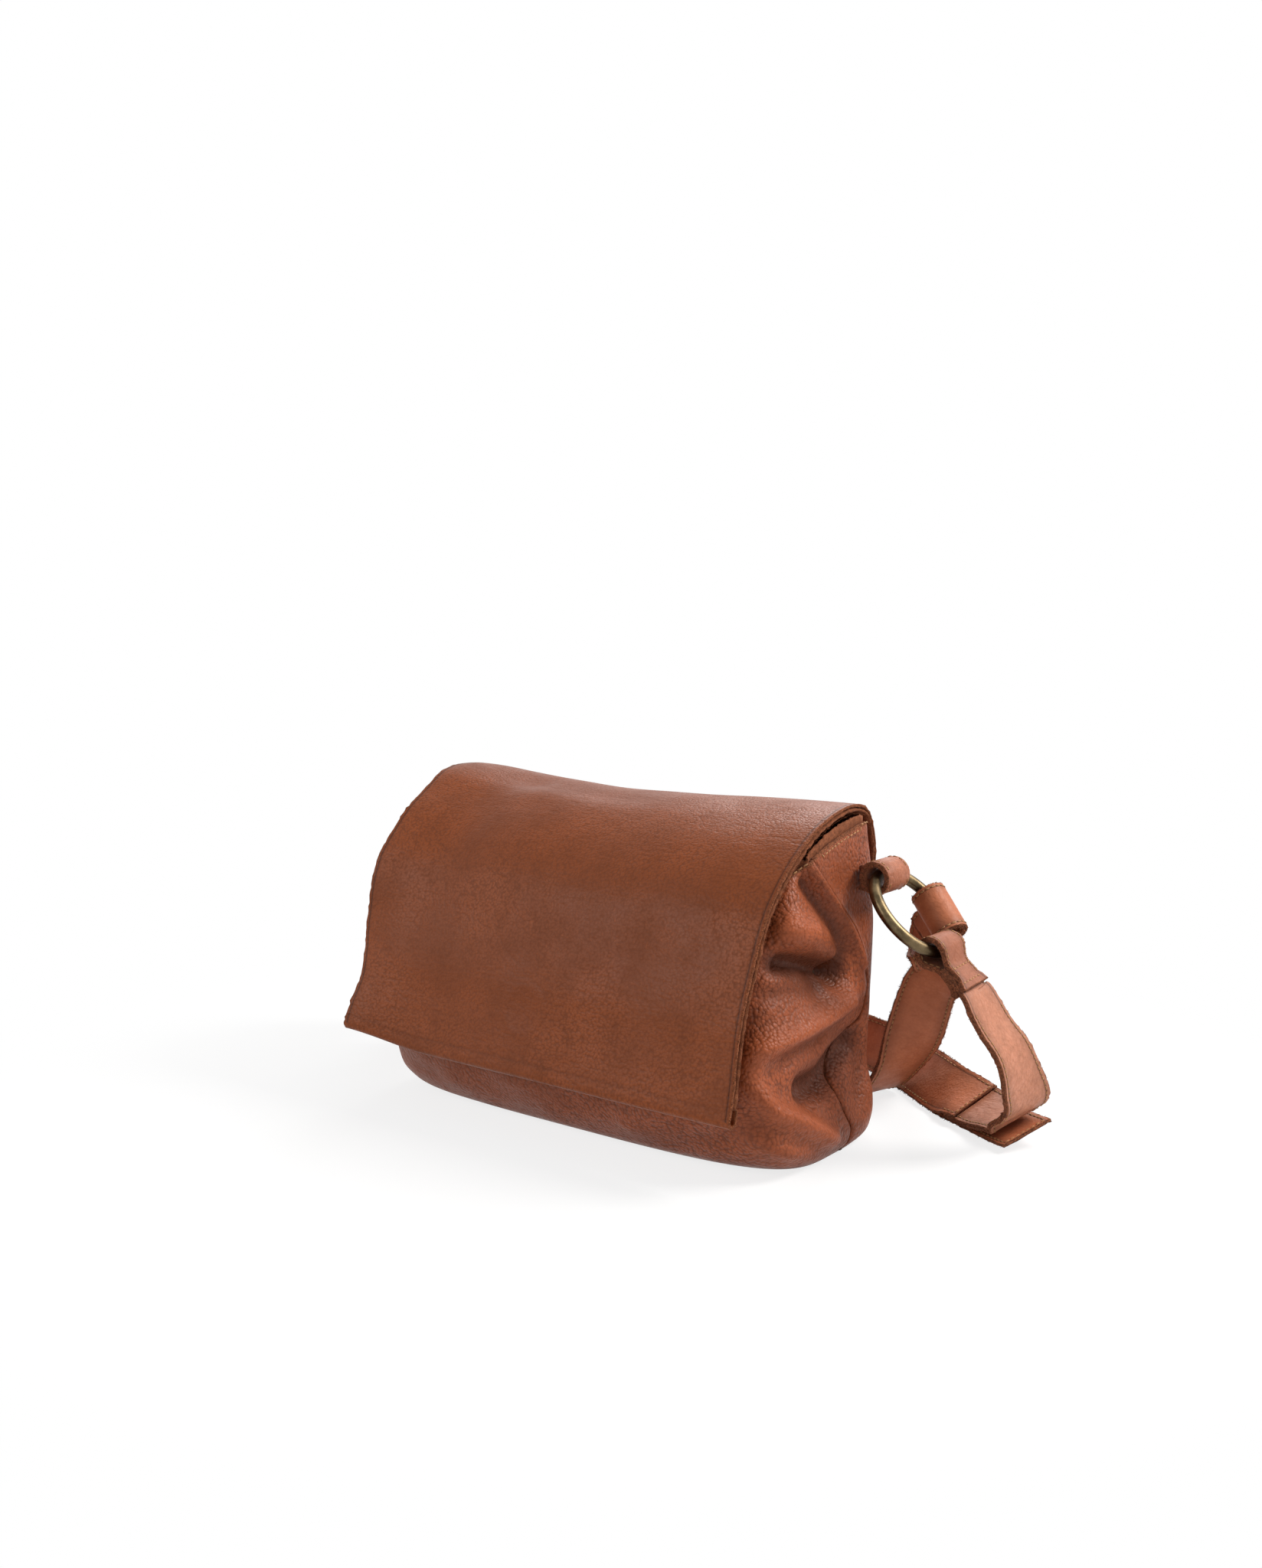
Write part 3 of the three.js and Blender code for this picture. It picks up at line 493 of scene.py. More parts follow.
class Nodes:
    """Adds nodes to a material or a world and joins them."""

    def __init__(self, owner):
        owner.use_nodes = True
        self.owner = owner
        self.tree = owner.node_tree

    def add(self, kind, settings=None, **inputs):
        """A node; an input is named as its socket is, or i and its number."""
        node = self.tree.nodes.new(kind)
        for key, value in (settings or {}).items():
            setattr(node, key, value)
        for key, value in inputs.items():
            self.put(node.inputs[int(key[1:]) if key[1:].isdigit() else key.replace("_", " ")], value)
        return node

    def put(self, socket, value):
        """Joins a node or a socket, or sets a plain value."""
        if isinstance(value, bpy.types.Node):
            value = value.outputs[0]
        if isinstance(value, bpy.types.NodeSocket):
            self.tree.links.new(value, socket)
        else:
            socket.default_value = value

    def surface(self, **inputs):
        """Sets the surface shader's inputs and gives back the material."""
        for key, value in inputs.items():
            self.put(self.tree.nodes["Principled BSDF"].inputs[key.replace("_", " ")], value)
        return self.owner

    def places(self):
        return self.add("ShaderNodeTexCoord").outputs["Object"]

    def noise(self, places, scale, detail, rough, stretch=None):
        if stretch:
            places = self.add("ShaderNodeMapping", Vector=places, Scale=stretch)
        return self.add("ShaderNodeTexNoise", Vector=places, Scale=scale, Detail=detail, Roughness=rough).outputs["Fac"]

    def remap(self, value, low, high, to_low=0.0, to_high=1.0):
        return self.add("ShaderNodeMapRange", {"interpolation_type": "SMOOTHSTEP"},
                        i0=value, i1=low, i2=high, i3=to_low, i4=to_high).outputs[0]

    def math(self, how, a, b):
        return self.add("ShaderNodeMath", {"operation": how}, i0=a, i1=b).outputs[0]

    def blend(self, share, a, b):
        """A mix of two colours."""
        return self.add("ShaderNodeMix", {"data_type": "RGBA"}, i0=share, i6=a, i7=b).outputs[2]

    def bump(self, height, strength, distance, **normal):
        return self.add("ShaderNodeBump", Height=height, Strength=strength, Distance=distance, **normal).outputs[0]

    def attribute(self, name):
        return self.add("ShaderNodeAttribute", {"attribute_name": name}).outputs["Fac"]

    def seen_rays(self):
        """1 for what the camera sees, straight, mirrored or through glass."""
        rays = self.add("ShaderNodeLightPath").outputs
        turned = self.math("MAXIMUM", rays["Is Glossy Ray"], rays["Is Transmission Ray"])
        return self.math("MAXIMUM", rays["Is Camera Ray"], turned)


def new_look(name):
    """The nodes of a new material and its places in the object."""
    n = Nodes(bpy.data.materials.new(name))
    return n, n.places()


def tint(base, by):
    """A colour made darker or lighter, with its alpha."""
    return (*(max(0.0, min(1.0, c * by)) for c in base), 1)


# Grain scale and depth, mottle, least and most roughness, scale of the patches, creases, shine and speckles
LEATHERS = {
    "flap": (600.0, 0.00030, 0.17, 0.30, 0.43, 34.0, 0.25, 0.12, 0.95),
    "body": (470.0, 0.00100, 0.20, 0.34, 0.50, 46.0, 0.0, 0.22, 1.35),
    "strap": (600.0, 0.00018, 0.16, 0.40, 0.56, 90.0, 0.2, 0.26, 0.35),
    "pale": (420.0, 0.00022, 0.14, 0.40, 0.56, 130.0, 0.4, 0.30, 0.40),
    "loop": (520.0, 0.00022, 0.18, 0.40, 0.56, 130.0, 0.3, 0.28, 0.6),
}


def leather_look(name, base, suede, grain, depth, mottle, smooth, rough, patch_scale, crease, shine, speckle):
    """Grained leather. It turns to suede where the piece's edge value says so, has painted shade along its stitch rows,
    and has a painted highlight on the ridges of its folds and painted shade in their hollows."""
    n, here = new_look(name)
    warp = n.add("ShaderNodeTexNoise", Vector=here, Scale=60.0, Detail=2.0).outputs["Color"]
    moved = n.add("ShaderNodeMix", {"data_type": "VECTOR"}, i0=0.004, i4=here, i5=warp).outputs[1]
    cells = n.add("ShaderNodeTexVoronoi", Vector=moved, Scale=grain).outputs["Distance"]
    cloud = n.noise(here, 13.0, 5.0, 0.6)
    patch = n.noise(here, patch_scale, 5.0, 0.65)
    speck = n.noise(here, 420.0, 3.0, 0.6)
    fine = n.noise(here, grain * 1.7, 3.0, 0.6)
    fuzz = n.noise(here, 1100.0, 5.0, 0.8)
    clump = n.noise(here, 380.0, 4.0, 0.6)
    # Painted light and shade of the folds: 1 where the leather stands out most, -1 where it sinks in most
    wear = n.attribute("wear")
    grained = n.math("MULTIPLY", n.remap(cells, 0.30, 0.80, 0.0, 0.55 * speckle), n.remap(cloud, 0.36, 0.66, 0.5, 1.0))
    skin = n.blend(n.remap(cloud, 0.36, 0.66), tint(base, 1.0 - mottle), tint(base, 1.0 + mottle * 0.6))
    for share, by in ((n.remap(patch, 0.42, 0.72, 0.0, 0.45), 0.62), (grained, 0.45),
                      (n.remap(speck, 0.56, 0.8, 0.0, 0.4 * speckle), 1.45),
                      # painted highlight on the fold ridges and painted shade in the fold hollows
                      (n.remap(wear, 0.0, 1.0, 0.0, 0.5), 1.35), (n.remap(wear, 0.0, -1.0, 0.0, 0.85), 0.28),
                      # the seam value paints shade along the stitch rows
                      (n.math("MULTIPLY", n.attribute("seam"), 0.85), 0.16)):
        skin = n.blend(share, skin, tint(base, by))
    flesh = n.blend(n.remap(fuzz, 0.36, 0.66), tint(suede, 0.30), tint(suede, 1.75))
    flesh = n.blend(n.remap(clump, 0.4, 0.7, 0.0, 0.6), flesh, tint(suede, 0.55))
    torn = n.math("MULTIPLY", n.math("SUBTRACT", clump, 0.5), 0.6)
    raw = n.remap(n.math("ADD", n.attribute("edge"), torn), 0.35, 0.6)
    gloss = n.math("ADD", n.remap(patch, 0.3, 0.7, smooth, rough), n.math("MULTIPLY", cells, 0.12))
    strong = n.remap(cloud, 0.32, 0.66, 0.45, 1.0)
    pebble = n.math("ADD", n.math("MULTIPLY", n.math("POWER", cells, 2.0), n.math("MULTIPLY", strong, -1.0)),
                    n.math("MULTIPLY", fine, 0.35))
    soft = n.bump(patch, 0.35, 0.0007, Normal=n.bump(pebble, 0.8, depth))
    if crease:
        lines = n.noise(here, 170.0, 4.0, 0.6, (0.35, 1.0, 1.6))
        soft = n.bump(n.remap(lines, 0.4, 0.62), crease, 0.0004, Normal=soft)
    nap = n.bump(fuzz, 1.0, 0.0008)
    return n.surface(
        Base_Color=n.blend(raw, skin, flesh),
        Roughness=n.add("ShaderNodeMix", {"data_type": "FLOAT"}, i0=raw, i2=gloss, i3=0.95),
        Normal=n.add("ShaderNodeMix", {"data_type": "VECTOR"}, i0=raw, i4=soft, i5=nap).outputs[1],
        Specular_IOR_Level=shine, Sheen_Weight=0.02, Sheen_Roughness=0.45, Sheen_Tint=(1.0, 0.86, 0.80, 1))


def suede_look(base):
    """Napped flesh side of the leather."""
    n, here = new_look("suede")
    fuzz = n.noise(here, 1500.0, 5.0, 0.75)
    tuft = n.noise(here, 430.0, 4.0, 0.7)
    clump = n.noise(here, 120.0, 5.0, 0.65)
    nap = n.blend(n.remap(fuzz, 0.3, 0.7), tint(base, 0.6), tint(base, 1.5))
    nap = n.blend(n.remap(tuft, 0.42, 0.62, 0.0, 0.7), nap, tint(base, 0.42))
    return n.surface(Base_Color=n.blend(n.remap(clump, 0.35, 0.7, 0.0, 0.45), nap, tint(base, 0.75)), Roughness=0.95,
                     Specular_IOR_Level=0.2, Normal=n.bump(tuft, 0.8, 0.0007, Normal=n.bump(fuzz, 0.7, 0.0003)))


def cloth_look(base):
    """Plain-woven cotton of the lining."""
    n, here = new_look("lining_cloth")
    warp, weft = (n.add("ShaderNodeTexWave", {"bands_direction": axis}, Vector=here, Scale=420.0,
                        Distortion=0.6).outputs["Fac"] for axis in "XZ")
    weave = n.math("MAXIMUM", warp, weft)
    slub = n.noise(here, 90.0, 4.0, 0.6)
    dyed = n.blend(weave, tint(base, 0.6), tint(base, 1.25))
    return n.surface(Base_Color=n.blend(n.remap(slub, 0.35, 0.7, 0.0, 0.4), dyed, tint(base, 0.8)), Roughness=0.92,
                     Normal=n.bump(weave, 0.5, 0.0002))


def thread_look(base):
    """Twisted sewing thread."""
    n, here = new_look("thread")
    twist = n.noise(here, 1600.0, 3.0, 0.6)
    return n.surface(Base_Color=n.blend(n.remap(twist, 0.3, 0.7), tint(base, 0.65), tint(base, 1.3)), Roughness=0.7,
                     Normal=n.bump(twist, 0.5, 0.0001))


def brass_look(base):
    """Antique brass: dark in its patina and bright where it is rubbed."""
    n, here = new_look("antique_brass")
    patina = n.noise(here, 70.0, 5.0, 0.65)
    rub = n.noise(here, 260.0, 4.0, 0.7, (1.0, 3.0, 1.0))
    metal = n.blend(n.remap(patina, 0.35, 0.7), tint(base, 0.55), tint(base, 1.35))
    return n.surface(Base_Color=n.blend(n.remap(rub, 0.5, 0.75, 0.0, 0.5), metal, tint(base, 1.7)), Metallic=1.0,
                     Roughness=n.remap(patina, 0.3, 0.7, 0.28, 0.48), Normal=n.bump(rub, 0.25, 0.0001))


OTHER_LOOKS = {"suede": suede_look, "cloth": cloth_look, "thread": thread_look, "brass": brass_look}
looks = {}


def look(settings, kind):
    """The look of a kind of surface, made once."""
    if kind not in looks:
        base, suede = getattr(settings.colours, kind), settings.colours.suede
        looks[kind] = (leather_look(kind + "_leather", base, suede, *LEATHERS[kind]) if kind in LEATHERS
                       else OTHER_LOOKS[kind](base))
    return looks[kind]


# Body form: shares of the body's height, of half its length, of the front and back reach, and squareness

FORM_SHARES = [
    (0.00, 0.949, 0.660, 0.877, 4.0), (0.02, 0.972, 0.745, 0.946, 4.6), (0.06, 0.985, 0.835, 0.985, 5.4),
    (0.13, 0.975, 0.930, 1.000, 6.5), (0.22, 0.945, 0.985, 1.000, 7.5), (0.32, 0.930, 0.962, 1.000, 8.5),
    (0.44, 0.930, 0.893, 1.000, 9.0), (0.56, 0.936, 0.824, 1.000, 9.0), (0.68, 0.936, 0.718, 1.000, 9.0),
    (0.78, 0.921, 0.588, 0.985, 9.0), (0.87, 0.914, 0.465, 0.980, 9.0), (0.94, 0.911, 0.330, 0.940, 8.0),
    (1.08, 0.911, 0.190, 0.830, 8.0),
]
RIM_SHARES = [
    (-0.541, 0.826), (-0.353, 0.884), (-0.188, 0.921), (-0.024, 0.947), (0.154, 0.963),
    (0.354, 0.979), (0.569, 0.993), (0.738, 0.993), (0.862, 0.975), (0.969, 0.950),
]

# The end seam seen from the end: height, then how far back it lies, right and left
SEAM = [
    (0.000, 0.006, -0.006), (0.009, 0.013, -0.006), (0.027, 0.006, -0.006), (0.045, 0.004, -0.006),
    (0.060, 0.022, -0.006), (0.080, 0.043, -0.006), (0.101, 0.043, -0.006), (0.128, 0.024, -0.006),
    (0.150, 0.006, -0.006), (0.176, -0.018, -0.006), (0.200, -0.020, -0.006),
]

# Folds, as lines of points, how far they stand out and how wide they are. On the ends a point is (y, z), on the
# front (x, z).
RIGHT_FOLDS = [
    ([(-0.066, 0.145), (-0.045, 0.139), (-0.026, 0.135)], 0.0085, 0.0095),
    ([(-0.052, 0.158), (-0.046, 0.150)], 0.0040, 0.0130),
    ([(-0.078, 0.131), (-0.052, 0.123), (-0.020, 0.113), (0.010, 0.103)], -0.0145, 0.0075),
    ([(0.010, 0.103), (0.016, 0.116), (0.006, 0.134), (-0.012, 0.152), (-0.022, 0.163)], -0.0062, 0.0068),
    ([(-0.070, 0.106), (-0.040, 0.104), (-0.010, 0.098)], -0.0045, 0.0060),
    ([(0.014, 0.088), (-0.004, 0.085), (-0.026, 0.083), (-0.052, 0.081), (-0.074, 0.077)], 0.0098, 0.0074),
    ([(-0.074, 0.077), (-0.075, 0.060), (-0.064, 0.043), (-0.038, 0.028), (-0.012, 0.012)], 0.0085, 0.0066),
    ([(0.028, 0.060), (0.008, 0.054), (-0.010, 0.046), (-0.030, 0.046)], -0.0105, 0.0085),
    ([(-0.020, 0.171), (0.004, 0.148), (0.022, 0.128), (0.036, 0.106)], 0.0042, 0.0042),
    ([(0.024, 0.088), (0.034, 0.092)], 0.0030, 0.0070),
    ([(0.026, 0.030), (0.038, 0.046)], -0.0045, 0.0100),
    ([(-0.062, 0.168), (-0.072, 0.152), (-0.080, 0.138)], -0.0050, 0.0050),
    ([(-0.080, 0.030), (-0.054, 0.016), (-0.030, 0.006)], 0.0035, 0.0048),
    ([(-0.048, 0.066), (-0.030, 0.068), (-0.008, 0.070)], -0.0030, 0.0042),
]
LEFT_FOLDS = [
    ([(-0.060, 0.120), (-0.020, 0.112), (0.030, 0.118)], -0.0060, 0.0100),
    ([(-0.066, 0.085), (-0.030, 0.078), (0.020, 0.086)], 0.0045, 0.0100),
    ([(-0.040, 0.045), (0.010, 0.038)], -0.0045, 0.0130),
]
FRONT_FOLDS = [
    ([(0.150, 0.070), (0.100, 0.050), (0.060, 0.020)], 0.0022, 0.010),
    ([(0.150, 0.040), (0.120, 0.024), (0.090, 0.010)], -0.0025, 0.009),
    ([(-0.140, 0.030), (-0.100, 0.018)], -0.0018, 0.010),
]
RIM_ROW = 0.0030       # the rim's stitches lie this far below its edge
DEEPEST_FOLD = 0.0085  # a fold this deep gets the strongest painted highlight where it stands out and the darkest painted shade where it sinks in

# How far the ridge of the flap, and the mouth under it, hang below the straight form, along the bag
RIDGE_SAG = [(-0.165, -0.0010), (-0.140, -0.0008), (-0.118, 0.0006), (-0.078, 0.0030), (-0.038, 0.0050),
             (0.000, 0.0044), (0.035, 0.0036), (0.068, 0.0020), (0.102, 0.0010), (0.150, 0.0004)]


def near_line(places, line, width):
    """1 on a line through a plane, fading to 0 past its width."""
    best = np.full(places.shape[:-1], 1e9)
    for a, b in zip(line, line[1:]):
        a, b = np.array(a), np.array(b)
        way = b - a
        t = np.clip(((places - a) @ way) / (way @ way), 0.0, 1.0)
        best = np.minimum(best, np.linalg.norm(places - (a + t[..., None] * way), axis=-1))
    return np.exp(-(best / width) ** 2)


def ridge_sag(x):
    return smooth_row(RIDGE_SAG, x)[..., 0]


def rim_height(x, y, bag):
    """Height of the mouth's rim."""
    rows = [(s * (bag.front_reach if s < 0 else bag.back_reach), h * bag.body_height) for s, h in RIM_SHARES]
    return smooth_row(rows, y)[..., 0] - np.maximum(ridge_sag(x), 0) * ease(y, -0.01, 0.04) * 1.1


def wall_places(bag, side, walk, height):
    """Places on the plain form of one half of the body. Side is -1 for the front and 1 for the back; walk goes
    from 0 at the left end's seam over 1 and 2 at the corners to 3 at the right end's seam."""
    half, front, back, square = np.moveaxis(smooth_row(FORM_SHARES, height / bag.body_height), -1, 0)
    half, front, back = half * bag.bag_length / 2, front * bag.front_reach, back * bag.back_reach
    depth, middle = (front + back) / 2, (back - front) / 2
    seam_right, seam_left = np.moveaxis(smooth_row(SEAM, height), -1, 0) - middle
    reach = side * depth
    on_left, on_right = walk < 1, walk > 2
    x = np.where(on_left, -half, np.where(on_right, half, (walk - 1.5) * 2 * half))
    y = np.where(on_left, seam_left + (reach - seam_left) * walk,
                 np.where(on_right, reach + (seam_right - reach) * (walk - 2), reach))
    shrink = (np.abs(x / half) ** square + np.abs(y / depth) ** square) ** (-1 / square)
    x, y = x * shrink, y * shrink
    y = middle + y * (1 - (bag.wall_bow / depth) * (x / half) ** 2)
    return np.stack([x, y, np.broadcast_to(height, x.shape) * 1.0], axis=-1)


CLOSE_WALKS = [0.0, 0.012, 0.03, 0.055, 0.085]


def spaced_walk(count_end, count_long):
    """Column places round one half, close together at the seams."""
    end = np.concatenate([CLOSE_WALKS, np.linspace(CLOSE_WALKS[-1], 1, count_end)[1:]])
    long = 1 + np.linspace(0, 1, count_long + 1)[1:]
    return np.concatenate([end, long, 3 - end[::-1][1:]])


def half_grid(bag, side, walls=84, below_rim=0.0, count_end=34, count_long=96):
    """Places of one half of the body, from the seam under the base up to the rim, and its column places."""
    walk = spaced_walk(count_end, count_long)
    spot = wall_places(bag, side, walk, np.full(walk.shape, 0.9 * bag.body_height))
    for _ in range(6):
        rim = rim_height(spot[:, 0], spot[:, 1], bag) - below_rim
        spot = wall_places(bag, side, walk, rim)
    rise = np.linspace(0, 1, walls + 1)
    height = (0.55 * rise + 0.45 * rise ** 1.7)[:, None] * rim[None, :]
    wall = wall_places(bag, side, np.broadcast_to(walk, height.shape), height)
    foot = wall[0]
    spread = np.cumsum(np.concatenate([[0.0], np.linalg.norm(np.diff(foot[:, :2], axis=0), axis=1)]))
    centre = foot[0] + (foot[-1] - foot[0]) * (spread / spread[-1])[:, None]
    out = np.linspace(0, 1, BASE_ROWS + 1)[:-1, None, None]
    floor = centre * (1 - out) + foot * out
    floor[..., 2] = 0.0004 * (1 - out[..., 0])
    return np.concatenate([floor, wall], axis=0), walk


def near_foot(places, width):
    """1 where a loop's foot is sewn on an end, fading to 0 past a width."""
    return np.exp(-(np.hypot(places[..., 1] - FOOT_PLACE[0], places[..., 2] - FOOT_PLACE[1]) / width) ** 4)


def fold_field(places, normals):
    """How far the leather stands out from the plain form."""
    x, z = places[..., 0], places[..., 2]
    move = np.zeros(x.shape)
    for folds, plane, share in (
            (RIGHT_FOLDS, [1, 2], ease(x, 0.095, 0.138) * ease(normals[..., 0], 0.10, 1.0)),
            (LEFT_FOLDS, [1, 2], ease(-x, 0.095, 0.138) * ease(-normals[..., 0], 0.05, 0.6)),
            (FRONT_FOLDS, [0, 2], ease(-normals[..., 1], 0.2, 0.7))):
        for line, depth, width in folds:
            move += depth * near_line(places[..., plane], line, width) * share
    return move * ease(z, 0.002, 0.02) * (1 - near_foot(places, 0.020))


def wavy(places, scale, amount, seed):
    """Soft uneven swelling of a surface."""
    shift = Vector((seed, seed * 0.7, -seed))
    values = [noise.noise(Vector(p) * scale + shift) for p in places.reshape(-1, 3)]
    return np.array(values).reshape(places.shape[:-1]) * amount


def wall_swell(places):
    """Uneven swelling of the walls, none near the ground, the snap and the loops' feet."""
    from_snap = np.hypot(places[..., 0] - SNAP_PLACE[0], places[..., 2] - SNAP_PLACE[1])
    near = np.maximum(np.exp(-(from_snap / 0.024) ** 2) * (places[..., 1] < 0),
                      near_foot(places, 0.022) * (np.abs(places[..., 0]) > 0.13))
    return (wavy(places, 22.0, 0.0016, 3.0) + wavy(places, 60.0, 0.0005, 9.0)) * ease(places[..., 2], 0.004, 0.03) * (
        1 - near)


def dressed_half(bag, side, inset=0.0, turn=True, **counts):
    """Places of one half with folds, swelling and the leather turned in at the seams, and the folds' depths."""
    places, walk = half_grid(bag, side, **counts)
    normals = grid_normals(places) * -side
    folds = fold_field(places, normals)
    places = places + normals * (folds + wall_swell(places))[..., None]
    low_left = ease(-places[..., 0], 0.085, 0.150) * (1 - ease(places[..., 2], 0.022, 0.080))
    places[..., 0] += 0.0085 * low_left
    if inset:
        places = places - grid_normals(places) * -side * inset
    if turn:
        depth = bag.turn_in * np.interp(np.minimum(walk, 3 - walk), CLOSE_WALKS, [1.0, 0.42, 0.14, 0.03, 0.0])
        places = places - normals * (depth * ease(places[..., 2], 0.0, 0.01))[..., None]
    places[..., 2] = np.maximum(places[..., 2], inset * 0.9)
    return places, folds


def leather_sheet(bm, thickness, amount=0.0003):
    """Gives a sheet its thickness, under its faces, rounds its cut edges and marks them as raw."""
    bmesh.ops.remove_doubles(bm, verts=bm.verts[:], dist=1e-5)
    edge, part, number = float_layers(bm, "edge", "part", "number")
    bm.normal_update()
    outside = [v.co.copy() for v in bm.verts]
    for n, v in enumerate(bm.verts):
        v[number] = n
    made = bmesh.ops.solidify(bm, geom=bm.faces[:], thickness=thickness)["geom"]
    for v in made:
        if isinstance(v, bmesh.types.BMVert):
            v[part] = 1.0
            sunk = v.co - outside[round(v[number])]
            if sunk.length > 1.5 * thickness:
                v.co = outside[round(v[number])] + sunk.normalized() * 1.5 * thickness
    cross = [e for e in bm.edges if e.verts[0][part] != e.verts[1][part]]
    for e in cross:
        for v in e.verts:
            v[edge] = 1.0
    bmesh.ops.subdivide_edges(bm, edges=cross, cuts=1, use_grid_fill=False)
    bm.normal_update()
    moves = [(v, v.normal * (amount if 0.2 < v[part] < 0.8 else -0.6 * amount)) for v in bm.verts if v[edge] > 0.99]
    for v, move in moves:
        v.co += move
    for layer_name in ("part", "number"):
        bm.verts.layers.float.remove(bm.verts.layers.float[layer_name])
    return bm


def body_half(settings, side, name, node):
    """The leather of the body's front or back and the stitches along its rim."""
    bag = settings.bag
    places, folds = dressed_half(bag, side)
    bm = grid_sheet(places, -side)
    # How far each corner stands out or sinks in, for the painted highlight on fold ridges and painted shade in fold
    # hollows
    wear, = float_layers(bm, "wear")
    for v, stands_out in zip(bm.verts, folds.reshape(-1)):
        v[wear] = max(-1.0, min(1.0, stands_out / DEEPEST_FOLD))
    leather_sheet(bm, bag.leather)
    fray(bm, 0.00025)
    edge, = float_layers(bm, "edge")
    foot_left, foot_right = places[BASE_ROWS, 0, 0] + 0.0006, places[BASE_ROWS, -1, 0] - 0.0006
    for v in bm.verts:
        if v[edge] > 0.4 and v.co.z < 0.006:
            v.co.x = min(max(v.co.x, foot_left), foot_right)
    new_piece(settings, name, bm, "body", "bag", [node])
    normals = grid_normals(places) * -side
    drop = np.cumsum(np.linalg.norm(np.diff(places[::-1], axis=0), axis=-1), axis=0)
    spots, ups = [], []
    for column in range(4, places.shape[1] - 4):
        row = int(np.searchsorted(drop[:, column], RIM_ROW))
        w = (RIM_ROW - drop[row - 1, column]) / (drop[row, column] - drop[row - 1, column]) if row else 0.0
        up = normals[-2 - row, column]
        spots.append(Vector(places[-1 - row, column] * (1 - w) + places[-2 - row, column] * w + up * 0.00005))
        ups.append(Vector(up))
    thread = Thread(settings)
    thread.line(spots, ups)
    thread.done(name.replace("leather", "rim_stitches"), "bag")


def under_flap(bag, x, y):
    """Height of the flap's underside over a place."""
    form = FlapForm(bag)
    keep = form.walks > form.ridge
    line, walks = form.line[keep], form.walks[keep]
    slope = np.gradient(line[:, 1], walks) / np.minimum(np.gradient(line[:, 0], walks), -1e-4)
    under = line[:, 1] - 0.0048 * np.sqrt(1 + slope ** 2)
    return np.interp(y, line[::-1, 0], under[::-1]) - np.maximum(ridge_sag(x), 0)


def facing_half(settings, side, name, node):
    """The facing inside the mouth: its raw edge stands above the body leather where the flap leaves room."""
    bag, rows = settings.bag, 30
    places, _ = dressed_half(bag, side, inset=bag.leather + GAP, turn=False)
    edge_x, edge_y = places[-1, :, 0], places[-1, :, 1]
    rim = rim_height(edge_x, edge_y, bag)
    top = rim + np.clip(under_flap(bag, edge_x, edge_y) - rim, 0.0002, 0.0062)
    strip = np.empty((rows + 1, places.shape[1], 3))
    heights = places[..., 2]
    for column in range(places.shape[1]):
        want = np.linspace(rim[column] - bag.facing_depth, top[column], rows + 1)
        low = np.searchsorted(heights[:, column] * (np.arange(len(heights)) > BASE_ROWS), want[0]) - 2
        low = max(low, BASE_ROWS + 1)
        for axis in range(2):
            strip[:, column, axis] = np.interp(want, heights[low:, column], places[low:, column, axis])
        strip[:, column, 2] = want
    bm = leather_sheet(grid_sheet(strip, -side), bag.facing)
    fray(bm, 0.00045)
    new_piece(settings, name, bm, "suede", "bag", [node])


def lining(settings):
    """The cloth lining: both halves joined, up to the facing."""
    bag, bm = settings.bag, bmesh.new()
    for side in (-1, 1):
        places, _ = dressed_half(bag, side, inset=bag.leather + GAP, below_rim=bag.facing_depth + 0.0004, turn=False,
                                 walls=48, count_end=18, count_long=60)
        bm.from_mesh(kept_mesh("half", grid_sheet(places, -side)))
    bmesh.ops.remove_doubles(bm, verts=bm.verts[:], dist=0.0006)
    new_piece(settings, "lining_cloth", leather_sheet(bm, bag.cloth, 0.0001), "cloth", "bag", ["lining"])


def pocket(settings):
    """The slip pocket on the back wall's inside; its mouth sags and its bottom is drawn in."""
    bag = settings.bag
    reach, low, high = 0.075, 0.026, 0.118
    x, z = np.meshgrid(np.linspace(-reach, reach, 41), np.linspace(low, high, 27))
    half = smooth_row(FORM_SHARES, z / bag.body_height)[..., 0] * bag.bag_length / 2
    places = wall_places(bag, 1, 1.5 + x / (2 * half), z)
    places[..., 0] = x
    places[..., 1] += wall_swell(places)
    places[..., 1] -= bag.leather + GAP + bag.cloth + 0.0004
    places[..., 1] -= 0.0035 * ease(z, 0.09, high) * (1 - (x / reach) ** 2)
    places[..., 0] *= 1 - 0.18 * ease(0.045 - z, 0.0, 0.019) ** 2
    bm = leather_sheet(grid_sheet(places, -1), 0.0012)
    fray(bm, 0.0001, 450.0)
    new_piece(settings, "slip_pocket_leather", bm, "suede", "bag", ["slip_pocket"])


# Flap: shares of the back reach (or of the front reach, where below zero) and of the body's height

REAR_SHARES = [
    (1.054, 0.774), (1.054, 0.842), (1.047, 0.905), (1.014, 0.948), (0.948, 0.993), (0.868, 1.022),
]
FACE_SHARES = [
    (0.785, 1.034), (0.646, 1.041), (0.477, 1.039), (0.246, 1.026), (-0.012, 1.003), (-0.165, 0.973),
    (-0.318, 0.934), (-0.459, 0.887), (-0.576, 0.837), (-0.671, 0.784), (-0.741, 0.726), (-0.812, 0.653),
    (-0.894, 0.568), (-0.965, 0.482), (-1.012, 0.400), (-1.082, 0.300), (-1.141, 0.221),
]


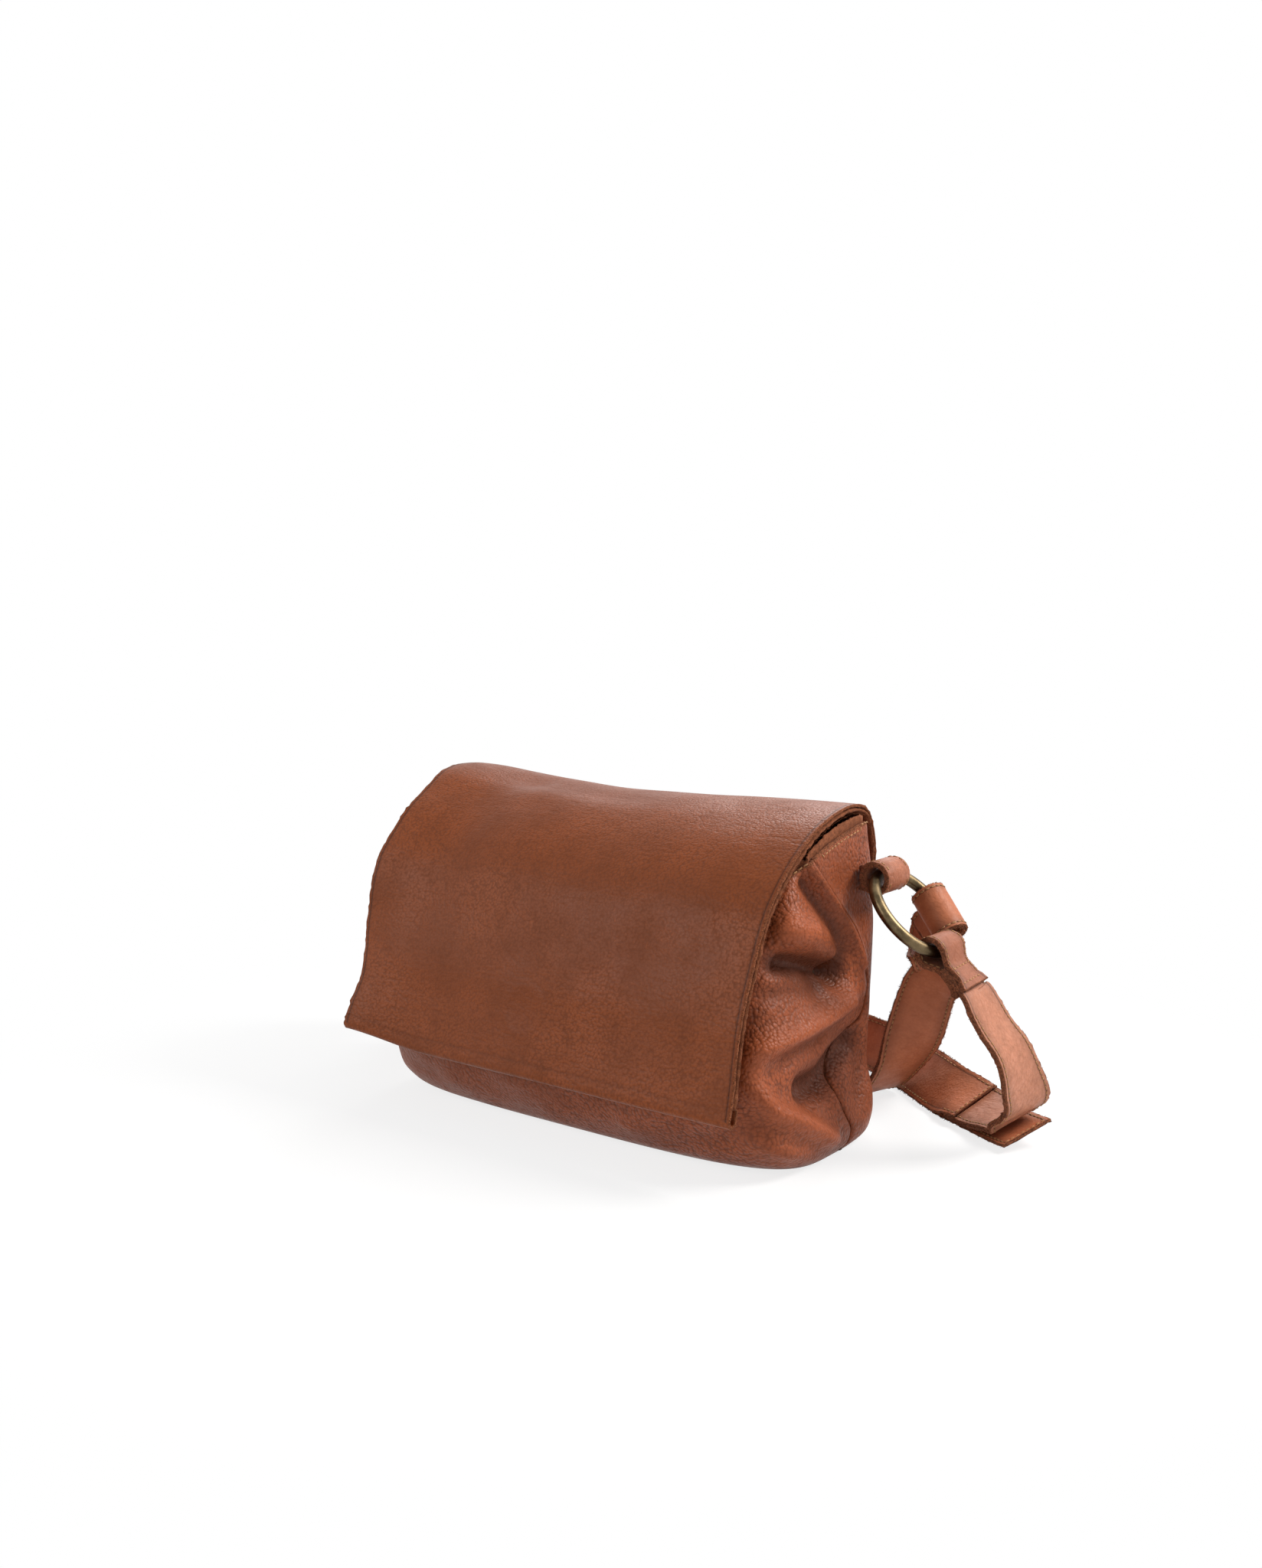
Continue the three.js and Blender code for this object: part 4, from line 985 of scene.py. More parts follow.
# Soft dents and swellings of the flap: place across, place down from the ridge, width, height, depth
FLAP_DENTS = [
    (-0.095, 0.030, 0.020, 0.014, -0.0016), (-0.070, 0.052, 0.022, 0.012, 0.0012),
    (-0.020, 0.040, 0.030, 0.012, -0.0012), (0.030, 0.030, 0.024, 0.014, 0.0012),
    (0.085, 0.055, 0.026, 0.014, -0.0010), (0.110, 0.030, 0.018, 0.010, 0.0010),
    (-0.110, 0.150, 0.016, 0.040, -0.0010), (-0.050, 0.190, 0.028, 0.030, 0.0010),
    (0.060, 0.170, 0.020, 0.045, -0.0008), (0.100, 0.120, 0.020, 0.040, 0.0010),
]


# How far the flap's left part stands out along the face, by the way down from the ridge
LEFT_SWELL = [(-0.10, 0.0), (-0.02, 0.0), (0.0, 0.0006), (0.009, 0.0017), (0.020, 0.0036), (0.040, 0.0076),
              (0.048, 0.0084), (0.069, 0.0068), (0.090, 0.0070), (0.106, 0.0063), (0.123, 0.0062), (0.146, 0.0038),
              (0.160, 0.0010), (0.180, -0.0010), (0.210, 0.0), (0.260, 0.0)]

# Where the flap's left and right edges lie, by the way down from the ridge
FLAP_SIDES = [(-0.06, -0.1500, 0.1360), (-0.02, -0.1532, 0.1365), (0.0, -0.1562, 0.1372), (0.03, -0.1590, 0.1385),
              (0.06, -0.1562, 0.1396), (0.10, -0.1542, 0.1405), (0.145, -0.1542, 0.1407), (0.17, -0.1524, 0.1408),
              (0.19, -0.1476, 0.1412), (0.205, -0.1458, 0.1416), (0.22, -0.1476, 0.1428), (0.24, -0.1492, 0.1438)]

SIDE_ROW = 0.0025   # the flap's side stitches lie this far from its edges
REAR_ROW = 0.0040   # and the rear stitches this far from its rear edge
FINE_STEP = 0.0006  # step over which the flap's slope is measured


class FlapForm:
    """The flap's face, walked from the seam on the back over the ridge to the free edge."""

    def __init__(self, bag):
        spots = [Vector((0, y * (bag.back_reach if y > 0 else bag.front_reach), z * bag.body_height))
                 for y, z in REAR_SHARES + FACE_SHARES]
        fine = 40
        count = (len(spots) - 1) * fine
        line = [curve_at(spots, n / count) for n in range(count + 1)]
        self.walks = np.concatenate([[0.0], np.cumsum([(b - a).length for a, b in zip(line, line[1:])])])
        self.line = np.array([tuple(p)[1:] for p in line])
        self.slope = np.gradient(self.line, self.walks, axis=0)
        self.end = self.walks[-1]
        self.ridge = self.walks[len(REAR_SHARES) * fine]
        late = np.arange(count + 1) > (count + 1) // 2
        self.snap_walk = self.walks[np.argmax(late & (self.line[:, 1] <= SNAP_PLACE[1]))]

    def face(self, x, walk):
        """Places on the outer face; x and walk are arrays of one shape."""
        y, z = (np.interp(walk, self.walks, self.line[:, axis]) for axis in (0, 1))
        normal_y = np.interp(walk, self.walks, self.slope[:, 1])
        normal_z = -np.interp(walk, self.walks, self.slope[:, 0])
        down = walk - self.ridge
        low = ease(walk, self.end - 0.07, self.end)
        z = z - ridge_sag(x) * np.exp(-((down - 0.005) / 0.040) ** 2)
        out = smooth_row(LEFT_SWELL, down)[..., 0] * ease(-x, 0.088, 0.158)
        out = out + 0.0045 * ease(-x, 0.105, 0.153) * low - 0.0012 * np.exp(-((x + 0.09) / 0.03) ** 2) * low
        z = z + 0.0050 * ease(-x, 0.085, 0.150) * low
        out = out + 0.0009 * np.sin(x * 47 + 1.3) * np.sin(walk * 30 + 0.4) * ease(down, 0.0, 0.05)
        for x_mid, down_mid, wide, tall, depth in FLAP_DENTS:
            out = out + depth * np.exp(-((x - x_mid) / wide) ** 2 - ((down - down_mid) / tall) ** 2)
        from_snap = np.hypot(x - SNAP_PLACE[0], walk - self.snap_walk)
        out = out * (1 - np.exp(-(from_snap / 0.020) ** 2)) + 0.0005 * np.exp(-((from_snap - 0.0145) / 0.0016) ** 2)
        return np.stack([x, y + normal_y * out, z + normal_z * out], axis=-1)

    def normals(self, x, walk, back=0.0):
        """The face's normals, from its slope over a fine step ahead and a step back."""
        by_walk = self.face(x, walk + FINE_STEP) - self.face(x, walk - back)
        normal = np.cross(by_walk, self.face(x + FINE_STEP, walk) - self.face(x - back, walk))
        return normal / np.linalg.norm(normal, axis=-1, keepdims=True)

    def layer(self, rows, left, right, columns=132):
        """Places of one layer through rows of (walk, depth below the face), drawn in at the left and right."""
        walk, depth = np.array(rows).T
        close = np.array([0.0, 0.0008, 0.0017, 0.0025, 0.0033, 0.0042, 0.0056, 0.0075]) / FLAP_WIDTH
        share = np.concatenate([close, np.linspace(close[-1], 1 - close[-1], columns)[1:-1], 1 - close[::-1]])
        side_left, side_right = self.sides(walk)
        x = (side_left + left)[:, None] * (1 - share) + (side_right + right)[:, None] * share
        w = walk[:, None] * np.ones_like(x)
        sunk = depth[:, None] + 0.00022 * self.seam_share(share, w) * (depth[:, None] < 1e-9)
        return self.face(x, w) - self.normals(x, w, FINE_STEP) * sunk[..., None]

    def seam_share(self, share, walk):
        """1 on the stitch rows, fading beside them; the hem's row is faint."""
        rows = np.broadcast_arrays(share * FLAP_WIDTH - SIDE_ROW, (1 - share) * FLAP_WIDTH - SIDE_ROW,
                                   walk - REAR_ROW, walk - self.end + 0.0072)
        return np.max([depth * np.exp(-(row / 0.0008) ** 2) for row, depth in zip(rows, (1, 1, 1, 0.28))], axis=0)

    def sides(self, walk):
        """Where the left and right edges lie along the flap."""
        return np.moveaxis(smooth_row(FLAP_SIDES, walk - self.ridge), -1, 0)


def blend_flap(piece):
    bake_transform(piece, "bag", "flap", start=(0, 0.0595, 0.19), end=(0, 0.043, 0.19))


def flap_outer(settings, form):
    """The flap's outer leather, with its hem turned under at the free edge."""
    flap = settings.flap
    turn = flap.outer_leather + 0.00005
    walks = [0.0, 0.0008, 0.0022, 0.0033, 0.0040, 0.0047, 0.0060, *np.linspace(0.008, form.end - 0.0090, 116)]
    walks += [form.end - w for w in (0.0079, 0.0072, 0.0065, 0.0050, 0.0035, turn)]
    rows = [(w, 0.0) for w in walks]
    for degrees in range(15, 181, 15):
        angle = math.radians(degrees)
        rows.append((form.end - turn + turn * math.sin(angle), turn * (1 - math.cos(angle))))
    rows += [(w, 2 * turn) for w in np.linspace(form.end - turn - 0.001, form.end - flap.hem, 7)]
    places = form.layer(rows, 0.0, 0.0)
    bm = grid_sheet(places)
    mark_flap_seams(bm, form, rows, places)
    leather_sheet(bm, flap.outer_leather)
    fray(bm, 0.00030)
    blend_flap(new_piece(settings, "flap_top_leather", bm, "flap", None, ["flap_outer", "flap_rear_outer"]))


def mark_flap_seams(bm, form, rows, places):
    """Writes how near each corner of the sheet is to a stitch row, for the painted shade along it; the corners are
    still in the grid's order.
    """
    seam, = float_layers(bm, "seam")
    walk, depth = np.array(rows).T[:, :, None]
    left, right = form.sides(walk)
    near = form.seam_share((places[..., 0] - left) / (right - left), walk) * (depth < 1e-9)
    for v, value in zip(bm.verts, near.reshape(-1)):
        v[seam] = value


def flap_inner(settings, form):
    """The flap's inner layer, which shows its edge at the sides."""
    flap = settings.flap
    depth = flap.outer_leather + 0.0002
    end = form.end - flap.hem - 0.0006
    rows = [(w, depth) for w in (0.0005, 0.0012, *np.linspace(0.003, end - 0.001, 112), end)]
    bm = leather_sheet(grid_sheet(form.layer(rows, 0.0004, -0.0004)), flap.inner_leather)
    bm.normal_update()
    for v in bm.verts:
        from_side = min(abs(v.co.x + flap.left_edge), abs(v.co.x - flap.right_edge))
        if v.normal.z < 0.1 and v.normal.y > -0.5 or v.normal.y > 0.3 and v.co.z < 0.17:
            v.co += v.normal * 0.0012 * math.exp(-(from_side / 0.006) ** 2)
    fray(bm, 0.00040)
    blend_flap(new_piece(settings, "flap_under_leather", bm, "suede", None, ["flap_lining", "flap_rear_lining"]))


def flap_trim(settings, form):
    """The flap's stitches, and the fibres at its side edges."""
    walks = np.linspace(0.004, form.end - 0.003, 160)
    left, right = form.sides(walks)
    rear = np.linspace(-0.1475, 0.1330, 140)
    thread, fringe = Thread(settings), Fringe(settings)
    for x, walk in ((left + SIDE_ROW, walks), (right - SIDE_ROW, walks), (rear, np.full(rear.shape, REAR_ROW))):
        normal = form.normals(x, walk)
        thread.line([Vector(p) for p in form.face(x, walk) + normal * 0.00005], [Vector(n) for n in normal])
    blend_flap(thread.done("flap_stitches"))
    for x, side in ((left, -1), (right, 1)):
        for depth in (0.0008, 0.0022, 0.0036):
            spots = [Vector(p) for p in form.face(x, walks) - form.normals(x, walks) * depth]
            fringe.line(spots, [Vector((side, 0, 0))] * len(spots), 0.0011, 0.0011)
    blend_flap(fringe.done("flap_fringe"))


# Straps: places as shares of half the bag's length, of the back reach and of the body's height, then the
# direction across the strap

HANGING_LEG = [
    ((1.125, 1.169, 0.526), (-0.86, 0.05, 0.40)), ((1.059, 1.262, 0.438), (-0.91, -0.25, 0.30)),
    ((0.974, 1.415, 0.285), (-0.76, -0.51, 0.40)), ((0.883, 1.538, 0.139), (-0.32, -0.91, 0.27)),
    ((0.776, 1.640, 0.042), (-0.12, -0.97, 0.20)),
]
INNER_RUN = [
    ((0.690, 1.66, 0.001), (0, -1, 0)), ((0.250, 1.66, 0.001), (0, -1, 0)), ((-0.250, 1.66, 0.001), (0, -1, 0)),
    ((-0.760, 1.64, 0.001), (0, -1, 0)), ((-1.010, 1.60, 0.020), (0, -1, 0.1)),
    ((-1.150, 1.42, 0.160), (0, -1, 0.2)),
]
OUTER_RUN = [
    ((-1.330, 0.98, 0.300), (-0.55, -0.83, 0)), ((-1.350, 1.42, 0.080), (-1, -0.15, 0.1)),
    ((-1.310, 1.98, 0.004), (-0.7, 0.2, 0.75)), ((-1.140, 2.38, 0.002), (-0.15, 0.1, 1)),
    ((-0.760, 2.52, 0.002), (0, 0, 1)), ((-0.200, 2.54, 0.002), (0, 0.05, 1)),
    ((0.200, 2.52, 0.002), (0, 0.1, 1)), ((0.525, 2.46, 0.002), (0.12, 0.25, 0.96)),
    ((0.810, 2.10, 0.002), (0.3, 0.45, 0.85)),
]
LAP = [
    ((1.050, 1.708, 0.002), (0.38, 0.55, 0.74)), ((1.150, 1.620, 0.002), (0.44, 0.73, 0.53)),
    ((1.262, 1.485, 0.005), (0.46, 0.79, 0.41)), ((1.384, 1.308, 0.010), (0.44, 0.83, 0.34)),
    ((1.500, 1.130, 0.020), (0.42, 0.85, 0.34)),
]
DROP = [
    ((1.489, 1.138, 0.142), (0.34, 0.93, 0.10)), ((1.497, 0.992, 0.232), (0.18, 0.97, 0.12)),
    ((1.480, 0.846, 0.334), (0.05, 0.99, 0.10)), ((1.428, 0.752, 0.417), (0.02, 0.99, 0.05)),
]
LAP_STEPS = 3


class RingPlace:
    """Where a ring hangs on one end of the bag; end is 1 on the right and -1 on the left."""

    def __init__(self, settings, end):
        self.side = "right" if end > 0 else "left"
        self.centre, self.loop = (sum((Vector(corner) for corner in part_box(node + self.side)), Vector()) / 2
                                  for node in ("ring_", "anchor_loop_"))
        self.across = Vector((0, 1, 0))
        hang = self.centre - self.loop
        hang.y = 0
        self.hang = hang.normalized()
        self.centre.y = self.loop.y
        self.radius = settings.hardware.ring_radius
        self.wire = settings.hardware.ring_wire

    def rise(self, chord):
        """How far the ring's wire bends away from a chord."""
        return self.radius - math.sqrt(self.radius ** 2 - (chord / 2) ** 2)

    def bore(self, width):
        """Radius of a leather's bend that clears the wire over a width."""
        return self.wire + self.rise(width) / 2 + 0.0014

    def turns(self, start):
        """Directions all round the loop from a start."""
        return [Matrix.Rotation(math.tau * k / 72, 3, self.across) @ start for k in range(73)]


def route_points(settings, rows, on_ground=False):
    """Places and directions from rows of shares. On the ground, the height is that of the strap's lowest corner."""
    bag, strap = settings.bag, settings.strap
    points = []
    for (x, y, z), across in rows:
        across = Vector(across).normalized()
        rise = (abs(across.z) * strap.width + math.sqrt(1 - across.z ** 2) * 2 * strap.layer) / 2 if on_ground else 0.0
        points.append((Vector((x * bag.bag_length / 2, y * bag.back_reach, z * bag.body_height + rise)), across))
    return points


def roll_points(settings, ring):
    """The strap's end rolled over the ring, from its turned-in end to the hanging leg."""
    strap = settings.strap
    place, turned_end = math.radians(75), 0.018
    thickness = 2 * strap.layer
    out = ring.hang * math.cos(place) + ring.across * math.sin(place)
    along = ring.hang * -math.sin(place) + ring.across * math.cos(place)
    axis = ring.centre + out * (ring.radius - ring.rise(strap.roll_width) / 2)
    down = Vector((0, 0, -1))
    down = (down - along * down.dot(along)).normalized()
    away = down.cross(along)
    radius = ring.bore(strap.roll_width) + thickness / 2
    inner = radius - thickness - GAP
    steps = [(inner, radius + turned_end), (inner, radius + turned_end / 2),
             (inner - thickness / 4, radius + thickness / 2)]
    for degrees in range(210, -1, -30):
        turn = math.radians(degrees)
        steps.append((math.cos(turn) * radius, -math.sin(turn) * radius))
    steps += [(radius, radius), (radius, radius + turned_end)]
    return [(axis + away * sideways + down * drop, along.copy()) for sideways, drop in steps]


def left_bend_points(settings, ring):
    """Both legs over the outer side of the left ring."""
    strap = settings.strap
    radius = ring.bore(strap.width) + strap.layer
    centre = ring.centre + ring.hang * (ring.radius - ring.rise(strap.width) / 2)
    bend = [math.radians(degrees) for degrees in range(0, 181, 30)]
    steps = [(radius, -strap.width), *((math.cos(turn) * radius, math.sin(turn) * radius) for turn in bend),
             (-radius, -strap.width)]
    return [(centre + Vector((sideways, 0, rise)), -ring.across) for sideways, rise in steps]


class StrapRoute:
    """The long strap's way from the right ring to the lap."""

    def __init__(self, settings):
        self.strap = settings.strap
        roll = roll_points(settings, RingPlace(settings, 1))
        before = roll + route_points(settings, HANGING_LEG) + route_points(settings, INNER_RUN, True)
        before += left_bend_points(settings, RingPlace(settings, -1)) + route_points(settings, OUTER_RUN, True)
        self.roll_end = len(roll)
        self.route = before + route_points(settings, LAP, True)
        self.last = len(self.route) - 1
        self.fork = len(before)

    def stations(self, start, end, spacing):
        """Stations between two places counted in route points, none of them under the ground."""
        made = stations_along(self.route, start / self.last, end / self.last, spacing)
        for s in made:
            low = s.place.z - (abs(s.across.z) * self.strap.width + abs(s.up.z) * 2 * self.strap.layer) / 2
            s.place.z -= min(0.0, low)
        return made

    def width_share(self, s):
        """How wide the strap is at a station, which is less where it is rolled round the ring."""
        wide = ease(s.share * self.last, self.roll_end, self.roll_end + 2)
        return (self.strap.roll_width + (self.strap.width - self.strap.roll_width) * float(wide)) / self.strap.width


def strap_layers(settings, lower, upper, wide, lift=lambda s: 0.0):
    """A strap's two layers, with their cut edges made uneven."""
    strap, bm = settings.strap, bmesh.new()
    sweep(bm, strap_profile(settings, strap.width, -strap.layer, -HAIR), lower, wide)
    sweep(bm, strap_profile(settings, strap.width - GAP, HAIR, strap.layer), upper, wide, lift)
    fray(bm, 0.00032, 800.0)
    return bm


def long_strap(settings):
    """The long strap: two layers that part at the lap, round the short strap's end."""
    strap, way = settings.strap, StrapRoute(settings)
    layer, lap_gap = strap.layer, 2 * strap.layer + 0.0006
    row = strap.width / 2 - settings.hardware.stitch_inset
    lower = way.stations(0, way.last, 0.0024)
    upper = way.stations(0, way.fork + 1.667, 0.0024)
    bm = strap_layers(settings, lower, upper, way.width_share,
                      lambda s: lap_gap * float(ease(s.share * way.last, way.fork, way.fork + 1)))
    new_piece(settings, "long_strap", bm, "strap", "strap", ["strap_long"])
    plain = [s for s in upper if s.share * way.last <= way.fork]
    lap = [s for s in upper if s.share * way.last > way.fork + 0.9]
    shown = [s for s in lower if s.share * way.last > way.fork + 2]
    thread, fringe = Thread(settings), Fringe(settings)
    thread.edges([(lower, -layer - HAIR), (plain, layer + HAIR), (lap, layer + lap_gap + HAIR, 0.001)],
                 lambda s: row * way.width_share(s))
    for run, height in ((upper, layer + lap_gap + HAIR), (lower, -layer - HAIR), (lower, 2 * HAIR)):
        thread.across(run, 0.003, lambda s: row, height)
    thread.edges([(shown, HAIR)], lambda s: row)
    thread.done("long_strap_stitches", "strap")
    fringe.edges([(lower, -layer * 0.5, 0.0010, 0.0014), (plain, layer * 0.5, 0.0010, 0.0014),
                  (lap, layer * 0.5 + lap_gap)], lambda s: strap.width / 2 * way.width_share(s))
    fringe.done("long_strap_fringe", "strap")


def tab_route(settings, ring):
    """The tab's route, folded round the ring's outer side, with its middle, where its neck and end lie, and what
    gives a place on it."""
    strap = settings.strap
    shift, pull, reach = -0.0015, 0.0005, 0.027
    radius = ring.bore(strap.tab_neck - 2 * shift) + GAP + strap.tab_leather / 2
    rise = ring.rise(strap.tab_neck)
    centre = ring.centre + ring.hang * (ring.radius - rise / 2 + pull) + ring.across * shift
    side = ring.hang.cross(ring.across)
    closed = strap.layer + GAP + strap.tab_leather / 2
    end = reach + rise / 2 - pull
    neck = radius + strap.tab_leather

    def at(out, sideways):
        lean = max(0.0, -shift * out) / end
        return centre + ring.hang * out + side * sideways + ring.across * lean, ring.across.copy()

    leg = [end, (end + neck) / 2, neck]
    turns = [math.radians(degrees) for degrees in range(-50, -311, -26)]
    route = [at(out, -closed) for out in leg]
    route += [at(math.cos(turn) * radius, math.sin(turn) * radius) for turn in turns]
    route += [at(out, closed) for out in reversed(leg)]
    return route, centre, neck, end, at


def tab(settings):
    """The tab that holds the short strap on the right ring."""
    strap, ring = settings.strap, RingPlace(settings, 1)
    route, centre, neck, end, _ = tab_route(settings, ring)
    fine = stations_along(route, spacing=0.0014, bend=0.10)
    half, row = strap.tab_leather / 2, strap.tab_width / 2 - settings.hardware.stitch_inset

    def wide(s):
        out = (s.place - centre).dot(ring.hang)
        share = float(ease(out, 0.45 * neck + 0.55 * end, end))
        bell = 0.10 * math.exp(-(out / 0.006) ** 2)
        return (strap.tab_neck + (strap.tab_width - 0.002 - strap.tab_neck) * share) / strap.tab_width + bell

    bm = sweep(bmesh.new(), strap_profile(settings, strap.tab_width, -half - 0.0004, half + 0.0004, 0.0008), fine, wide)
    fray(bm, 0.00042)
    new_piece(settings, "tab_leather", bm, "loop", "strap", ["strap_tab"])
    thread, fringe = Thread(settings), Fringe(settings)
    outside = half + 0.00042
    thread.edges([(fine, face * outside, 0.003, fine[-1].walk - 0.002) for face in (-1, 1)], lambda s: row * wide(s))
    for from_end in (0.0035, 0.0135):
        for run in (fine, fine[::-1]):
            for face in (-1, 1):
                thread.across(run, from_end, lambda s: row * wide(s), face * outside, 0.001)
    thread.done("tab_stitches", "strap")
    fringe.edges([(fine, face * half * 0.6, 0.0008, 0.0014) for face in (-1, 0, 1)],
                 lambda s: strap.tab_width / 2 * wide(s))
    fringe.done("tab_fringe", "strap")


def short_strap(settings):
    """The short strap, from between the long strap's layers up into the tab."""
    strap, way = settings.strap, StrapRoute(settings)
    _, _, neck, end, at = tab_route(settings, RingPlace(settings, 1))
    foot_end = (LAP_STEPS + 7) / LAP_STEPS
    foot = way.stations(way.fork + 1, way.fork + foot_end, 0.003)
    for s in foot:
        from_fold = way.fork + foot_end - s.share * way.last
        lift = strap.layer + GAP + 0.004 * (1 - float(ease(from_fold * LAP_STEPS, 0, LAP_STEPS + 1)))
        s.place = s.place + s.up * lift
    last = foot[-1]
    outward = last.across.cross(last.up).normalized()
    outward *= math.copysign(1, outward.x)
    radius = 0.0022
    rise = [(last.place, last.across)]
    for degrees in (-90, -45, 0):
        turn = math.radians(degrees)
        rise.append((last.place + outward * radius * (1 + math.cos(turn)) + last.up * radius * (1 + math.sin(turn)),
                     last.across.copy()))
    rise += route_points(settings, DROP)
    rise += [at(out, 0) for out in (end + 2 * strap.layer, end, (neck + end) / 2, neck)]
    fine = foot[:-1] + stations_along(rise, spacing=0.0022, bend=0.12)
    total = 0.0
    for a, b in zip(fine, fine[1:]):
        a.walk = total
        total += (b.place - a.place).length
    fine[-1].walk = total

    def wide(s):
        return 1.0 - 0.26 * float(ease(s.walk, total - 0.026, total - 0.012))

    bm = strap_layers(settings, fine, fine, wide)
    new_piece(settings, "short_strap", bm, "pale", "strap", ["strap_short"])
    row = strap.width / 2 - settings.hardware.stitch_inset
    thread, fringe = Thread(settings), Fringe(settings)
    thread.edges([(fine, face * (strap.layer + HAIR), 0.004, total - 0.022) for face in (-1, 1)],
                 lambda s: row * wide(s))
    thread.done("short_strap_stitches", "strap")
    fringe.edges([(fine, face * strap.layer * 0.5, 0.0009, 0.0014) for face in (-1, 1)],
                 lambda s: strap.width / 2 * wide(s))
    fringe.done("short_strap_fringe", "strap")


# End loops and rings


def end_loop(settings, end):
    """A loop of leather round the ring's wire, with its stitches and the fibres at its cut edges."""
    strap, ring = settings.strap, RingPlace(settings, end)
    bore = ring.bore(strap.loop_width)
    outer, half, soft = bore + strap.loop_leather, strap.loop_width / 2, 0.0006
    profile = [(bore, -half + soft), (bore + soft, -half), (outer - soft, -half), (outer, -half + soft),
               (outer + 0.0002, 0), (outer, half - soft), (outer - soft, half), (bore + soft, half),
               (bore, half - soft), (bore, 0)]
    bm = bmesh.new()
    edge, = float_layers(bm, "edge")
    corners = []
    for (r, y), raw in zip(profile, [0.4, 1, 1, 0.4, 0] * 2):
        corners.append(bm.verts.new(ring.loop + ring.across * y + Vector((1, 0, 0)) * r))
        corners[-1][edge] = raw
    sides = [bm.edges.new(pair) for pair in zip(corners, corners[1:] + corners[:1])]
    full_spin(bm, corners + sides, ring.loop, ring.across, 56)
    fray(bm, 0.00035)
    new_piece(settings, "end_loop_" + ring.side, bm, "loop", "strap", ["anchor_loop_" + ring.side])
    thread, fringe = Thread(settings), Fringe(settings)
    ups = ring.turns(Vector((1, 0, 0)))
    for y in (-half + 0.0026, half - 0.0026):
        thread.line([ring.loop + ring.across * y + up * (outer + 0.00012) for up in ups], ups)
    thread.done("loop_stitches_" + ring.side, "strap")
    low, high = (np.array(corner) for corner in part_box("anchor_foot_" + ring.side))
    seat = high[0] if end > 0 else low[0]
    for side in (-1, 1):
        for depth in (0.0016, 0.0023, 0.0030):
            spots = [ring.loop + ring.across * side * half + up * (outer - depth)
                     for up in ring.turns(Vector((-end, 0, 0)))]
            spots = [spot for spot in spots if end * (spot.x - seat) > FIBRE_ROOM]
            fringe.line(spots, [ring.across * side] * len(spots), 0.0008, 0.0007, 0.0001)
    fringe.done("loop_fringe_" + ring.side, "strap")
    y, z = np.meshgrid(np.linspace(low[1] + 0.002, high[1] - 0.002, 19),
                       np.linspace(low[2] + 0.004, high[2] - 0.004, 17))
    swell = 0.0006 * np.sin((z - z[0, 0]) / (z[-1, 0] - z[0, 0]) * math.pi) - 0.0010
    foot = leather_sheet(grid_sheet(np.stack([seat + end * swell, y, z], axis=-1), -end), 0.0044)
    fray(foot, 0.0003)
    new_piece(settings, "loop_foot_" + ring.side, foot, "loop", "bag", ["anchor_foot_" + ring.side])


def brass_ring(settings, end):
    """A round ring of round wire."""
    ring, bm = RingPlace(settings, end), bmesh.new()
    side = ring.hang.cross(ring.across)
    turn = Matrix((ring.hang, side, ring.across)).transposed().to_4x4()
    start = Matrix.Translation(ring.centre + ring.hang * ring.radius) @ turn
    made = bmesh.ops.create_circle(bm, segments=20, radius=ring.wire, matrix=start)
    full_spin(bm, made["verts"] + bm.edges[:], ring.centre, side, 96)
    name = "ring_" + ring.side
    new_piece(settings, "brass_" + name, bm, "brass", name, [name])


# Stage


def area_light(name, place, target, size, energy, tone=(1, 1, 1)):
    """A round lamp that faces a target."""
    data = bpy.data.lights.new(name, "AREA")
    data.shape, data.size, data.energy, data.color = "DISK", size, energy, tone
    lamp = bpy.data.objects.new(name, data)
    lamp.location = place
    lamp.rotation_euler = (Vector(target) - Vector(place)).to_track_quat("-Z", "Y").to_euler()
    bpy.context.scene.collection.objects.link(lamp)


